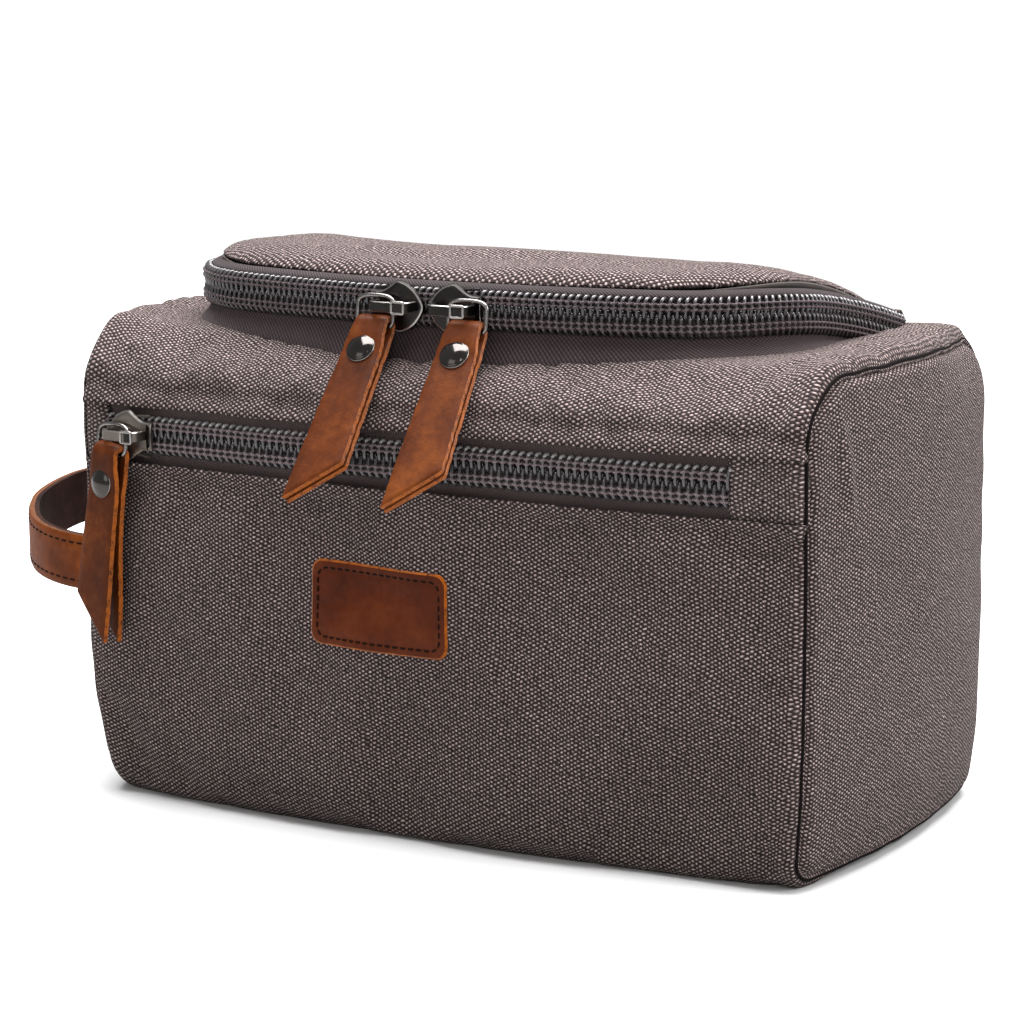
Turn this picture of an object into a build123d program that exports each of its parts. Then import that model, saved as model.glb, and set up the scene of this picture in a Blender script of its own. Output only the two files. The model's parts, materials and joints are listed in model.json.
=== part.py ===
"""Canvas shaving kit bag with a hinged, zipped lid, a zipped front pocket and a leather grab handle.

Millimetres. X runs along the bag, -Y is the front with the pocket, +Z is up.
The origin is the middle of the base, on the surface that the bag stands on.
"""
from build123d import *
from math import asin, cos, degrees, radians, sin, sqrt
import os

# Body, measured between the sewn edges
HALF_LENGTH = 118.0
HALF_DEPTH = 61.0
HEIGHT = 141.0
FRONT_BULGE = 5.6
BACK_BULGE = 4.0
END_BULGE = 7.0
INNER_END_BULGE = 6.5
FRONT_TOP_RADIUS = 21.0
BACK_TOP_RADIUS = 10.0
BOTTOM_RADIUS = 7.0

# Cloth and padding
CANVAS = 1.2
LINING = 0.6
FOAM = 3.0
BOARD = 1.5
LAYER_GAP = 0.1
BACK_PANEL_TOP = 128.0

# Lid, a D shape in plan: a shallow front arc, two round corners and a straight hinge line
LID_LEFT = -103.5
LID_RIGHT = 92.5
LID_FRONT = -49.0
LID_BACK = 52.0
LID_FRONT_RADIUS = 300.0
LID_CORNER_RADIUS = 40.0
LID_EDGE_Z = 160.0
LID_CROWN_Z = 163.6
LID_BACK_Z = 158.6
GUSSET_BOTTOM = 137.0
HINGE_Z = 152.6

# Coil zips: two halves with a narrow slit between them, on woven tape
CHAIN_HEIGHT = 10.6
CHAIN_SLIT = 1.2
COIL_DEPTH = 2.4
TAPE = 0.8
TAPE_TURN_UP = 159.2
LID_CHAIN_Z = 152.6
POCKET_CHAIN_Z = 111.0
POCKET_BOTTOM_EDGE = 102.5
POCKET_TOP_EDGE = 119.5
POCKET_ZIP_LEFT = -110.3
POCKET_ZIP_RIGHT = 96.8
POCKET_BACK_Y = -54.0

# Sliders: where each one's middle stands along X, and its parts
SLIDER_LEFT_X = -13.8
SLIDER_RIGHT_X = 5.0
SLIDER_POCKET_X = -99.3
PLATE = 1.2
PLATE_GAP = 0.4
REAR_GAP = 0.6
BRIDGE_Z = 0.4
BRIDGE_HALF_WIDTH = 1.6
BRIDGE_HALF_LENGTH = 6.5
BRIDGE_CLEAR = 5.0
WIRE_RADIUS = 0.7
RING_HALF_WIDTH = 6.0
RING_TOP = 3.2
RING_BOTTOM = -5.6
RING_TILT = 7.0
RING_OFFSET = 5.6
POCKET_RING_TILT = 12.0
POCKET_RING_OFFSET = 4.4
POCKET_RING_YAW = -6.0

# Leather
LEAF = 2.2
PULL_TOP_HALF = 6.0
PULL_BOTTOM_HALF = 7.3
PULL_LONG = 59.0
PULL_SHORT = 46.5
EYE_RADIUS = WIRE_RADIUS + 0.4
EYE_LEATHER = 1.3
EYE_HALF_WIDTH = 3.7
RIVET_DROP = 8.8
RIVET_CAP_RADIUS = 4.4
RIVET_BACK_RADIUS = 3.2
RIVET_BACK = 0.5
RIVET_POST_RADIUS = 1.5
LID_PULL_LEAN = 38.0
POCKET_PULL_LEAN = 5.0
POCKET_PULL_TWIST = -5.0
LABEL_SIZE = (48.0, 24.5)
LABEL_CENTRE = (-11.6, 68.0)
LABEL_THICKNESS = 1.6
HANDLE_REACH = 53.5
HANDLE_BOTTOM = 60.0
HANDLE_TOP = 77.0
HANDLE_OUTER = 1.8
HANDLE_INNER = 1.0

BIG = 400.0
os.makedirs("parts", exist_ok=True)


def save(shape, node):
    """Writes one sub-part to its own file."""
    export_step(shape, f"parts/{node}.step")


def span_box(x, y, z):
    """A box from three (low, high) pairs."""
    size = [high - low for low, high in (x, y, z)]
    middle = [(low + high) / 2 for low, high in (x, y, z)]
    return Pos(*middle) * Box(*size)


def plan_face(end, front, back, end_bulge=END_BULGE, front_bulge=FRONT_BULGE, back_bulge=BACK_BULGE):
    """The bag seen from above: four sewn corners joined by shallow arcs."""
    def side(a, b, bulge, along):
        if not bulge:
            return Line(a, b)
        middle = (Vector(*a) + Vector(*b)) / 2 + Vector(*along) * bulge
        return ThreePointArc(a, middle, b)

    corners = [(-end, front), (end, front), (end, back), (-end, back)]
    sides = [
        side(corners[0], corners[1], front_bulge, (0, -1)),
        side(corners[1], corners[2], end_bulge, (1, 0)),
        side(corners[2], corners[3], back_bulge, (0, 1)),
        side(corners[3], corners[0], end_bulge, (-1, 0)),
    ]
    return make_face(Wire(sides))


def inset_plan(inset):
    """The outer plan moved inwards on every side, or outwards if inset is negative."""
    return plan_face(HALF_LENGTH - inset, -HALF_DEPTH + inset, HALF_DEPTH - inset)


def prism(face, low, high):
    """A plan face raised from low to high."""
    return Pos(0, 0, low) * extrude(face, high - low)


def rounded_block(face, low, high, front_top, back_top, bottom):
    """A prism with its long top edges and, if bottom is given, its long bottom edges rounded."""
    block = prism(face, low, high)
    top = block.edges().group_by(Axis.Z)[-1].sort_by(Axis.Y)
    block = fillet(top[0], front_top)
    top = block.edges().group_by(Axis.Z)[-1].sort_by(Axis.Y)
    block = fillet(top[-1], back_top)
    if bottom:
        for end in (0, -1):
            low_edges = block.edges().group_by(Axis.Z)[0].sort_by(Axis.Y)
            block = fillet(low_edges[end], bottom)
    return block


def lid_face(inset):
    """The lid's D outline moved inwards, with the hinge line kept where it is."""
    centre = ((LID_LEFT + LID_RIGHT) / 2, LID_FRONT + LID_FRONT_RADIUS)
    left, right = LID_LEFT + inset, LID_RIGHT - inset
    box = Pos((left + right) / 2, (LID_BACK - BIG) / 2 + LID_BACK / 2) * Rectangle(right - left, BIG)
    disc = Pos(*centre) * Circle(LID_FRONT_RADIUS - inset)
    outline = box & disc
    corners = outline.vertices().sort_by(Axis.Y)[:2]
    return fillet(corners, LID_CORNER_RADIUS - inset)


def lid_band(outer, inner, low, high):
    """A U-shaped band that follows the lid's front and sides, open along the hinge."""
    band = prism(lid_face(outer) - lid_face(inner), low, high)
    return band & span_box((-BIG, BIG), (-BIG, LID_BACK - 1.6), (0, BIG))


def under_dome(drop):
    """Everything below the lid's crown, lowered by drop."""
    crown = ThreePointArc((LID_FRONT, LID_EDGE_Z), (0, LID_CROWN_Z), (LID_BACK, LID_BACK_Z))
    disc = Pos(*crown.arc_center) * Circle(crown.radius)
    strip = Pos((LID_FRONT + LID_BACK) / 2, 150) * Rectangle(LID_BACK - LID_FRONT + 12, 100)
    profile = Plane.YZ * (disc & strip)
    return Pos(-BIG / 2, 0, -drop) * extrude(profile, BIG, dir=(1, 0, 0))


def front_band(outer, inner, low, high, left, right):
    """A strip that follows the convex front, from inset outer to inset inner."""
    ring = inset_plan(outer) - inset_plan(inner)
    return prism(ring, low, high) & span_box((left, right), (-BIG, 0), (0, BIG))


def make_canvas():
    """The outer cloth: one wrap under and behind, the top panel, two end panels and two zip tabs."""
    outer = rounded_block(inset_plan(0), 0, HEIGHT, FRONT_TOP_RADIUS, BACK_TOP_RADIUS, BOTTOM_RADIUS)
    inner = rounded_block(
        inset_plan(CANVAS), CANVAS, HEIGHT - CANVAS,
        FRONT_TOP_RADIUS - CANVAS, BACK_TOP_RADIUS - CANVAS, BOTTOM_RADIUS - CANVAS,
    )
    depth, length = HALF_DEPTH - CANVAS, HALF_LENGTH - CANVAS
    between_ends = prism(plan_face(length, -depth, depth, END_BULGE, 0, 0), -1, BIG)
    between_ends += span_box((-length, length), (-BIG, BIG), (-1, BIG))
    ends = outer - between_ends
    for side, name in ((-1, "left"), (1, "right")):
        reach = sorted((side * 60, side * BIG))
        save(ends & span_box(reach, (-BIG, BIG), (-1, BIG)), f"end_panel_{name}")
    shell = (outer & between_ends) - inner
    low = span_box((-BIG, BIG), (-BIG, 0), (-1, POCKET_BOTTOM_EDGE))
    low += span_box((-BIG, BIG), (0, BIG), (-1, BACK_PANEL_TOP))
    save(shell & low, "body_wrap_panel")
    high = span_box((-BIG, BIG), (-BIG, 0), (POCKET_TOP_EDGE, BIG))
    high += span_box((-BIG, BIG), (0, BIG), (BACK_PANEL_TOP, BIG))
    save((shell & high) - prism(lid_face(-0.4), 100, BIG), "top_panel")
    for name, left, right in (("left", -length, POCKET_ZIP_LEFT), ("right", POCKET_ZIP_RIGHT, length)):
        tab = front_band(-0.5, CANVAS, POCKET_BOTTOM_EDGE, POCKET_TOP_EDGE, left, right)
        save(tab & between_ends, f"pocket_end_tab_{name}")
    return outer


def make_padding():
    """Foam in the walls and base, a stiffener board and the drop-in lining."""
    depth = CANVAS + LAYER_GAP
    outer = plan_face(HALF_LENGTH - depth, POCKET_BACK_Y, HALF_DEPTH - depth, INNER_END_BULGE, 0)
    inside = depth + FOAM
    inner = plan_face(HALF_LENGTH - inside, POCKET_BACK_Y + FOAM, HALF_DEPTH - inside, INNER_END_BULGE, 0)
    wall = prism(outer - inner, 8.0, 130.0)
    split = HALF_LENGTH - inside - 1.0
    save(wall & span_box((-split, split), (-BIG, 0), (0, BIG)), "wall_foam_front")
    save(wall & span_box((-split, split), (0, BIG), (0, 126.0)), "wall_foam_back")
    for side, name in ((-1, "left"), (1, "right")):
        reach = sorted((side * (split + LAYER_GAP), side * BIG))
        save(wall & span_box(reach, (-BIG, BIG), (0, 120.0)), f"wall_foam_{name}")
    floor = CANVAS + LAYER_GAP
    save(span_box((-111, 111), (-49, 51), (floor, floor + 1.9)), "base_foam")
    floor += 1.9 + LAYER_GAP
    board = span_box((-108, 108), (-47, 49), (floor, floor + BOARD))
    save(fillet(board.edges().filter_by(Axis.Z), 8), "base_board")
    floor += BOARD + LAYER_GAP
    ends = inside + LAYER_GAP
    front = POCKET_BACK_Y + FOAM + LAYER_GAP
    top = HEIGHT - CANVAS - LAYER_GAP - 0.1
    skin = rounded_block(
        plan_face(HALF_LENGTH - ends, front, HALF_DEPTH - ends, INNER_END_BULGE, 0),
        floor, top, 12.0, 8.0, 0,
    )
    hollow = rounded_block(
        plan_face(HALF_LENGTH - ends - LINING, front + LINING, HALF_DEPTH - ends - LINING, INNER_END_BULGE, 0),
        floor + LINING, top - LINING, 12.0 - LINING, 8.0 - LINING, 0,
    )
    save(skin - hollow - prism(lid_face(-0.4), 60, BIG), "body_lining")


def make_pocket():
    """The front pocket: its lining pouch, and the coil zip that closes it."""
    def slab(front_inset, back_y, side):
        face = inset_plan(front_inset)
        return face & Pos(0, (back_y - BIG) / 2) * Rectangle(2 * side, BIG + back_y)

    inset = CANVAS + LAYER_GAP
    back = POCKET_BACK_Y - LAYER_GAP
    pouch = prism(slab(inset, back, 111), 10, 121) - prism(slab(inset + LINING, back - LINING, 110.4), 10.6, 120.4)
    slot = span_box((POCKET_ZIP_LEFT, POCKET_ZIP_RIGHT), (-BIG, -57.5), (POCKET_BOTTOM_EDGE, POCKET_TOP_EDGE))
    save(pouch - slot, "pocket_pouch")
    slit_low, slit_high = POCKET_CHAIN_Z - CHAIN_SLIT / 2, POCKET_CHAIN_Z + CHAIN_SLIT / 2
    ends = (POCKET_ZIP_LEFT, POCKET_ZIP_RIGHT)
    save(front_band(0.3, 0.3 + TAPE, POCKET_BOTTOM_EDGE, slit_low, *ends), "pocket_zip_tape_lower")
    save(front_band(0.3, 0.3 + TAPE, slit_high, POCKET_TOP_EDGE, *ends), "pocket_zip_tape_upper")
    reach = CHAIN_HEIGHT / 2
    save(front_band(0.3 - COIL_DEPTH, 0.3, POCKET_CHAIN_Z - reach, slit_low, *ends), "pocket_coil_lower")
    save(front_band(0.3 - COIL_DEPTH, 0.3, slit_high, POCKET_CHAIN_Z + reach, *ends), "pocket_coil_upper")


def make_lid():
    """The zipped band around the lid opening, the padded lid and its fabric hinge."""
    reach = CHAIN_HEIGHT / 2
    chain_low, chain_high = LID_CHAIN_Z - reach, LID_CHAIN_Z + reach
    slit_low, slit_high = LID_CHAIN_Z - CHAIN_SLIT / 2, LID_CHAIN_Z + CHAIN_SLIT / 2
    save(lid_band(-0.3, TAPE, GUSSET_BOTTOM, chain_low - LAYER_GAP), "lid_gusset_band")
    save(lid_band(0, TAPE, chain_low, slit_low), "lid_zip_tape_lower")
    save(lid_band(-COIL_DEPTH, 0, chain_low, slit_low), "lid_coil_lower")
    turned_up = lid_band(0, TAPE, slit_high, TAPE_TURN_UP) & under_dome(CANVAS + LAYER_GAP)
    save(turned_up, "lid_zip_tape_upper")
    save(lid_band(-COIL_DEPTH, 0, slit_high, chain_high), "lid_coil_upper")
    hinge = ((LID_LEFT + 2, LID_RIGHT - 2), (LID_BACK - 1.4, LID_BACK - 0.2))
    save(span_box(*hinge, (GUSSET_BOTTOM, HINGE_Z - 0.3)), "hinge_panel_lower")
    save(span_box(*hinge, (HINGE_Z + 0.3, LID_BACK_Z - 2.0)), "hinge_panel_upper")
    sheet = under_dome(0) - under_dome(CANVAS)
    save(sheet & prism(lid_face(0), TAPE_TURN_UP - 2, BIG), "lid_panel")
    drop = CANVAS + LAYER_GAP
    foam = under_dome(drop) - under_dome(drop + FOAM)
    core = prism(lid_face(5.0), 100, BIG) & span_box((-BIG, BIG), (-BIG, LID_BACK - 2.4), (0, BIG))
    save(foam & core, "lid_foam")
    drop += FOAM + LAYER_GAP
    save((under_dome(drop) - under_dome(drop + LINING)) & core, "lid_lining")


def slider_body(tail):
    """The casting: crown plate, bridge for the ring, wedge post and back plate. tail is -1 or 1 along X."""
    crown = [
        Line((-8.4, 4.2), (-5.2, 4.4)),
        Spline((-5.2, 4.4), (-2.4, 5.6), (0.2, 7.2), tangents=[(1, 0.1), (1, 0.35)]),
        ThreePointArc((0.2, 7.2), (6.4, 4.4), (8.6, 0)),
        ThreePointArc((8.6, 0), (6.4, -4.4), (0.2, -7.2)),
        Spline((0.2, -7.2), (-2.4, -5.6), (-5.2, -4.4), tangents=[(-1, 0.35), (-1, 0.1)]),
        Line((-5.2, -4.4), (-8.4, -4.2)),
        Line((-8.4, -4.2), (-8.4, 4.2)),
    ]
    outline = Plane.XZ * make_face(Wire(crown))
    front = -PLATE_GAP
    plate = Pos(0, front, 0) * extrude(outline, PLATE, dir=(0, -1, 0))
    # the crown's top stays low where the tilting ring passes in front of it
    plate -= span_box((-BIG, 1.6), (-BIG, 0), (2.1, BIG))
    face = front - PLATE
    top = face - BRIDGE_CLEAR
    bridge = span_box(
        (-BRIDGE_HALF_LENGTH, BRIDGE_HALF_LENGTH), (top - PLATE, top),
        (BRIDGE_Z - BRIDGE_HALF_WIDTH, BRIDGE_Z + BRIDGE_HALF_WIDTH),
    )
    for x in (-BRIDGE_HALF_LENGTH, BRIDGE_HALF_LENGTH - PLATE):
        bridge += span_box((x, x + PLATE), (top, face), (-1.2, 1.2))
    rear = COIL_DEPTH + TAPE + REAR_GAP
    post = span_box((-1.5, 3.5), (front, rear), (-CHAIN_SLIT / 4, CHAIN_SLIT / 4))
    back = span_box((-8.0, 8.0), (rear, rear + PLATE), (-4.9, 4.9))
    back = fillet(back.edges().filter_by(Axis.Y), 2.5)
    body = plate + bridge + post + back
    return body if tail < 0 else mirror(body, Plane.YZ)


def lock_cap():
    """The sprung lock's cap, a small frame on the bridge's right end."""
    seat = -PLATE_GAP - 2 * PLATE - BRIDGE_CLEAR
    cap = span_box((1.8, 6.2), (seat - 0.6, seat - 0.02), (BRIDGE_Z - 1.7, BRIDGE_Z + 1.7))
    return cap - span_box((2.6, 5.4), (-BIG, 0), (BRIDGE_Z - 1.0, BRIDGE_Z + 1.0))


def wire_y():
    """How far the ring's wire stands in front of the coils where it passes under the bridge."""
    return -PLATE_GAP - PLATE - BRIDGE_CLEAR / 2


def ring(offset, tilt):
    """The wire ring, threaded under the bridge, its middle at offset along X and its foot tilted outwards."""
    height = RING_TOP - RING_BOTTOM
    path = Pos(offset, (RING_TOP + RING_BOTTOM) / 2) * Rectangle(2 * RING_HALF_WIDTH, height)
    corners = path.vertices().group_by(Axis.Y)
    path = fillet(corners[-1], 4.2)
    path = fillet(path.vertices().group_by(Axis.Y)[0], 1.8)
    line = Plane.XZ * path.wire()
    start = line.edges()[0]
    section = Plane(origin=start @ 0.5, z_dir=start % 0.5) * Circle(WIRE_RADIUS)
    body = sweep(section, path=line, transition=Transition.ROUND)
    lean = Pos(0, wire_y(), BRIDGE_Z) * Rot(-tilt, 0, 0) * Pos(0, 0, -BRIDGE_Z)
    return lean * body


def ring_foot(offset, tilt):
    """The middle of the ring's lower bar, in the slider's own frame."""
    reach = RING_BOTTOM - BRIDGE_Z
    return Vector(offset, wire_y() + reach * sin(radians(tilt)), BRIDGE_Z + reach * cos(radians(tilt)))


def pull(long_side):
    """A leather strip folded over the ring's lower bar, its two leaves joined by a rivet. Hangs along -Z."""
    def eye_profile():
        solid = Circle(EYE_RADIUS + EYE_LEATHER) + Pos(0, -2.0) * Rectangle(2 * LEAF, 4.0)
        return solid - Circle(EYE_RADIUS)

    eye = Pos(-EYE_HALF_WIDTH, 0, 0) * extrude(Plane.YZ * eye_profile(), 2 * EYE_HALF_WIDTH, dir=(1, 0, 0))
    shoulder = -EYE_RADIUS - EYE_LEATHER - 0.8
    left, right = (PULL_LONG, PULL_SHORT) if long_side < 0 else (PULL_SHORT, PULL_LONG)
    outline = Polyline(
        (-PULL_TOP_HALF, shoulder), (PULL_TOP_HALF, shoulder), (PULL_BOTTOM_HALF, -right),
        (-PULL_BOTTOM_HALF, -left), close=True,
    )
    strip = Pos(0, LEAF, 0) * extrude(Plane.XZ * make_face(outline), 2 * LEAF, dir=(0, -1, 0))
    hole = Pos(0, 0, -RIVET_DROP) * Rot(90, 0, 0) * Cylinder(RIVET_POST_RADIUS, 20)
    return eye + strip - hole


def rivet():
    """A double-cap rivet: domed front cap, post through both leaves, flat back cap."""
    post = Cylinder(RIVET_POST_RADIUS, 2 * LEAF)
    sphere_radius = (RIVET_CAP_RADIUS ** 2 + 1.5 ** 2) / (2 * 1.5)
    cap = Pos(0, 0, LEAF + 1.5 - sphere_radius) * Sphere(sphere_radius)
    cap &= span_box((-9, 9), (-9, 9), (LEAF, LEAF + 3))
    back = Pos(0, 0, -LEAF - RIVET_BACK / 2) * Cylinder(RIVET_BACK_RADIUS, RIVET_BACK)
    return Pos(0, 0, -RIVET_DROP) * Rot(90, 0, 0) * (post + cap + back)


def make_slider(name, place, tail, offset, long_side, tilt=RING_TILT, yaw=0, twist=0, lean=LID_PULL_LEAN):
    """One slider with its lock cap, ring, pull and rivet. place is where it stands on its zip."""
    save(place * slider_body(tail), f"{name}_slider")
    save(place * lock_cap(), f"{name}_lock_cap")
    swing = place * Pos(0, wire_y(), 0) * Rot(0, 0, yaw) * Pos(0, -wire_y(), 0)
    save(swing * ring(offset, tilt), f"{name}_ring")
    foot = swing * Pos(*ring_foot(offset, tilt))
    hang = foot * Rot(0, 0, twist) * Rot(-lean, 0, 0)
    save(hang * pull(long_side), f"{name}_pull")
    save(hang * rivet(), f"{name}_rivet")


def on_zip(x, centre, radius, z):
    """A place on a zip that curves round centre, turned to face straight out."""
    turn = asin((x - centre[0]) / radius)
    return Pos(x, centre[1] - radius * cos(turn), z) * Rot(0, 0, degrees(turn))


def make_sliders():
    """Two sliders meet on the lid's zip, and one closes the pocket."""
    lid_zip = (((LID_LEFT + LID_RIGHT) / 2, LID_FRONT + LID_FRONT_RADIUS), LID_FRONT_RADIUS + COIL_DEPTH)
    make_slider("lid_left", on_zip(SLIDER_LEFT_X, *lid_zip, LID_CHAIN_Z), -1, -RING_OFFSET, -1)
    make_slider("lid_right", on_zip(SLIDER_RIGHT_X, *lid_zip, LID_CHAIN_Z), 1, RING_OFFSET, -1)
    front_radius = (HALF_LENGTH ** 2 + FRONT_BULGE ** 2) / (2 * FRONT_BULGE)
    pocket_zip = ((0, -HALF_DEPTH - FRONT_BULGE + front_radius), front_radius + COIL_DEPTH - 0.3)
    make_slider(
        "pocket", on_zip(SLIDER_POCKET_X, *pocket_zip, POCKET_CHAIN_Z), 1, -POCKET_RING_OFFSET, 1,
        POCKET_RING_TILT, POCKET_RING_YAW, POCKET_PULL_TWIST, POCKET_PULL_LEAN,
    )


def make_leather(outer):
    """The label on the front, and the two-layer handle sewn into the left end's seams."""
    width, height = LABEL_SIZE
    x, z = LABEL_CENTRE
    stamp = Pos(x, -60, z) * Rot(90, 0, 0) * extrude(RectangleRounded(width, height, 3.5), 30, both=True)
    skin = prism(inset_plan(-0.05 - LABEL_THICKNESS) - inset_plan(-0.05), 20, 120)
    save(skin & stamp, "leather_label")

    def strap(outset, thickness):
        reach, half = HANDLE_REACH - outset, HALF_DEPTH - outset
        band = Ellipse(reach, half) - Ellipse(reach - thickness, half - thickness)
        band = Pos(-HALF_LENGTH, 0) * band & Pos(-HALF_LENGTH - 50, 0) * Rectangle(100, BIG)
        return prism(band, HANDLE_BOTTOM, HANDLE_TOP) - outer

    save(strap(0, HANDLE_OUTER), "handle_outer_leather")
    save(strap(HANDLE_OUTER + 0.05, HANDLE_INNER), "handle_inner_leather")


bag = make_canvas()
make_padding()
make_pocket()
make_lid()
make_sliders()
make_leather(bag)
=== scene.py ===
import json
from math import asin, atan2, ceil, cos, pi, radians, sin, sqrt
import bpy
import numpy as np
from mathutils import Matrix, Vector


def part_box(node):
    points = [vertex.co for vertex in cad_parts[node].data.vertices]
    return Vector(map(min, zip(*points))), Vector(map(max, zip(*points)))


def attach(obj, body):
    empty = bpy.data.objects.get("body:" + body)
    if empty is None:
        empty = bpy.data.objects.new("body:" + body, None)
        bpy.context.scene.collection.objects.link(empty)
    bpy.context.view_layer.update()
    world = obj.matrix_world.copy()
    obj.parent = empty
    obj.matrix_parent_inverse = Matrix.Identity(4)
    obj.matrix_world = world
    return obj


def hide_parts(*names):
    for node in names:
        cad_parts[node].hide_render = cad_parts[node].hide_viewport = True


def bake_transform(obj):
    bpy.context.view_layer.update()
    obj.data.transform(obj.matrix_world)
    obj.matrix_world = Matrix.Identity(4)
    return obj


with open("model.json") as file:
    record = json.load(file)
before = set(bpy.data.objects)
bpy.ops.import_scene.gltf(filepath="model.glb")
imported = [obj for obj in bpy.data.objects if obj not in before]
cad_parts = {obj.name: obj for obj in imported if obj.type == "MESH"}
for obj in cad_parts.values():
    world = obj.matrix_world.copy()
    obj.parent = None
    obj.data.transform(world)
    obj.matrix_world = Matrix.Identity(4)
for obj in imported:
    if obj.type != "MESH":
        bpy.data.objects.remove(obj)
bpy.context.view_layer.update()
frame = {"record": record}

MM = 0.001


# ---- sizes in millimetres, read from the CAD
def node_box(name):
    lo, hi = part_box(name)
    return np.array(lo) / MM, np.array(hi) / MM


wrap_lo, wrap_hi = node_box("body_wrap_panel")
end_hi = node_box("end_panel_right")[1]
lid_lo, lid_hi = node_box("lid_panel")
tab_lo, tab_hi = node_box("pocket_end_tab_left")
tab_r_lo = node_box("pocket_end_tab_right")[0]
tape_lo, tape_hi = node_box("pocket_zip_tape_lower")
label_lo, label_hi = node_box("leather_label")
handle_lo = node_box("handle_outer_leather")[0]

HD = end_hi[1] - 0.1                # half depth at the end seams
EB = 7.0                            # how far the ends bulge
HL = end_hi[0] - EB                 # half length at the end seams
FB = -wrap_lo[1] - HD               # front bulge
BB = wrap_hi[1] - HD                # back bulge
H = node_box("top_panel")[1][2]
R_FRONT, R_BACK, R_BASE = 21.0, 10.0, 7.0
ZIP_LOW, ZIP_HIGH = tab_lo[2], tab_hi[2]
CHAIN_Z = (ZIP_LOW + ZIP_HIGH) / 2
ZIP_LEFT, ZIP_RIGHT = tape_lo[0], tape_hi[0]
LID_L, LID_R, LID_Y0, LID_Y1 = lid_lo[0], lid_hi[0], lid_lo[1], lid_hi[1]
LID_RAD, LID_CORNER = 300.0, 40.0   # front curve and front corners of the lid
LID_CX, LID_CY = (LID_L + LID_R) / 2, LID_Y0 + LID_RAD
LID_MID = np.array([LID_CX, 4.0])   # the rings of lid and lining are drawn about it
LID_CHAIN = 152.6                   # height of the lid zip's chain
CLOTH = 0.9                         # thickness of the canvas
rng = np.random.default_rng(7)


# ---- small sums
def unit(v):
    return v / np.maximum(np.linalg.norm(v, axis=-1, keepdims=True), 1e-9)


def share(t):
    return np.clip(t, 0, 1)


def bump(t):
    t = share(t)
    return t * t * (3 - 2 * t)


def bell(t, width):
    return np.exp(-(t / width) ** 2)


def run(p):
    """Distance along a polyline at each of its points."""
    return np.concatenate([[0], np.cumsum(np.linalg.norm(np.diff(p, axis=0), axis=1))])


def grid(a, b):
    return np.meshgrid(a, b, indexing="ij")


def flat_uv(a, b):
    return np.stack(grid(a, b), -1).reshape(-1, 2)


def noise(p, seed, waves=7, low=0.02, high=0.07):
    """Smooth wandering value from a few sine waves, -1 to 1, for points in the last axis."""
    g = np.random.default_rng(seed)
    out = np.zeros(p.shape[:-1])
    for _ in range(waves):
        d = g.normal(size=p.shape[-1])
        d /= np.linalg.norm(d)
        out += np.sin((p @ d) * 2 * pi * g.uniform(low, high) + g.uniform(0, 6.3))
    return out / waves ** 0.5 / 1.2


# ---- mesh tools
class Piece:
    """Collects vertices, faces, material numbers and UVs in millimetres, then makes one object."""
    def __init__(self):
        self.v, self.f, self.m, self.uv, self.n = [], [], [], [], 0

    def add(self, verts, faces, mat=0, uv=None):
        verts = np.asarray(verts, float).reshape(-1, 3)
        self.v.append(verts)
        self.uv.append(np.zeros((len(verts), 2)) if uv is None else uv)
        self.f += [tuple(int(i) + self.n for i in f) for f in faces]
        self.m += [mat] * len(faces) if np.isscalar(mat) else mat
        self.n += len(verts)
        return self

    def make(self, name, body, slot, mats, replaces=(), sharp=None):
        me = bpy.data.meshes.new(name)
        me.from_pydata((np.concatenate(self.v) * MM).tolist(), [], self.f)
        for m in mats:
            me.materials.append(m)
        me.polygons.foreach_set("material_index", self.m)
        me.polygons.foreach_set("use_smooth", [True] * len(self.f))
        layer = me.uv_layers.new(name="UVMap")
        loops = np.zeros(len(me.loops), np.int32)
        me.loops.foreach_get("vertex_index", loops)
        layer.data.foreach_set("uv", np.concatenate(self.uv)[loops].astype(np.float32).ravel())
        me.validate()
        me.update()
        obj = bpy.data.objects.new(name, me)
        bpy.context.scene.collection.objects.link(obj)
        if sharp:
            me.set_sharp_from_angle(angle=radians(sharp))
        if body:
            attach(obj, body)
        if replaces:
            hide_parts(*replaces)
        return obj


def grid_faces(nu, nv, wrap_u=False, wrap_v=False, flip=False):
    out = []
    for i in range(nu if wrap_u else nu - 1):
        for j in range(nv if wrap_v else nv - 1):
            a, b = i * nv + j, ((i + 1) % nu) * nv + j
            c, d = ((i + 1) % nu) * nv + (j + 1) % nv, i * nv + (j + 1) % nv
            out.append((a, d, c, b) if flip else (a, b, c, d))
    return out


def caps(rings, n, flip=False):
    """The two end faces of a bar made of rings of n points."""
    first, last = tuple(range(n)), tuple(range((rings - 1) * n, rings * n))
    return [first[::-1], last] if flip else [first, last[::-1]]


def vertex_normals(verts, faces):
    n = np.zeros_like(verts)
    for f in faces:
        a, b, c = verts[f[0]], verts[f[1]], verts[f[2]]
        k = np.cross(b - a, c - a) if len(f) == 3 else np.cross(c - a, verts[f[3]] - b)
        for i in f:
            n[i] += k
    return unit(n)


def shell(piece, verts, faces, thick, uv):
    """A closed cloth of that thickness: the given skin, a second one inside it and a rim."""
    verts = np.asarray(verts, float).reshape(-1, 3)
    inner = verts - vertex_normals(verts, faces) * thick
    edges = {(a, b): True for f in faces for a, b in zip(f, f[1:] + f[:1])}
    n = len(verts)
    rim = [(b, a, a + n, b + n) for a, b in edges if (b, a) not in edges]
    both = faces + [tuple(i + n for i in reversed(f)) for f in faces]
    return piece.add(np.concatenate([verts, inner]), both + rim, 0, np.concatenate([uv, uv]))


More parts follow.
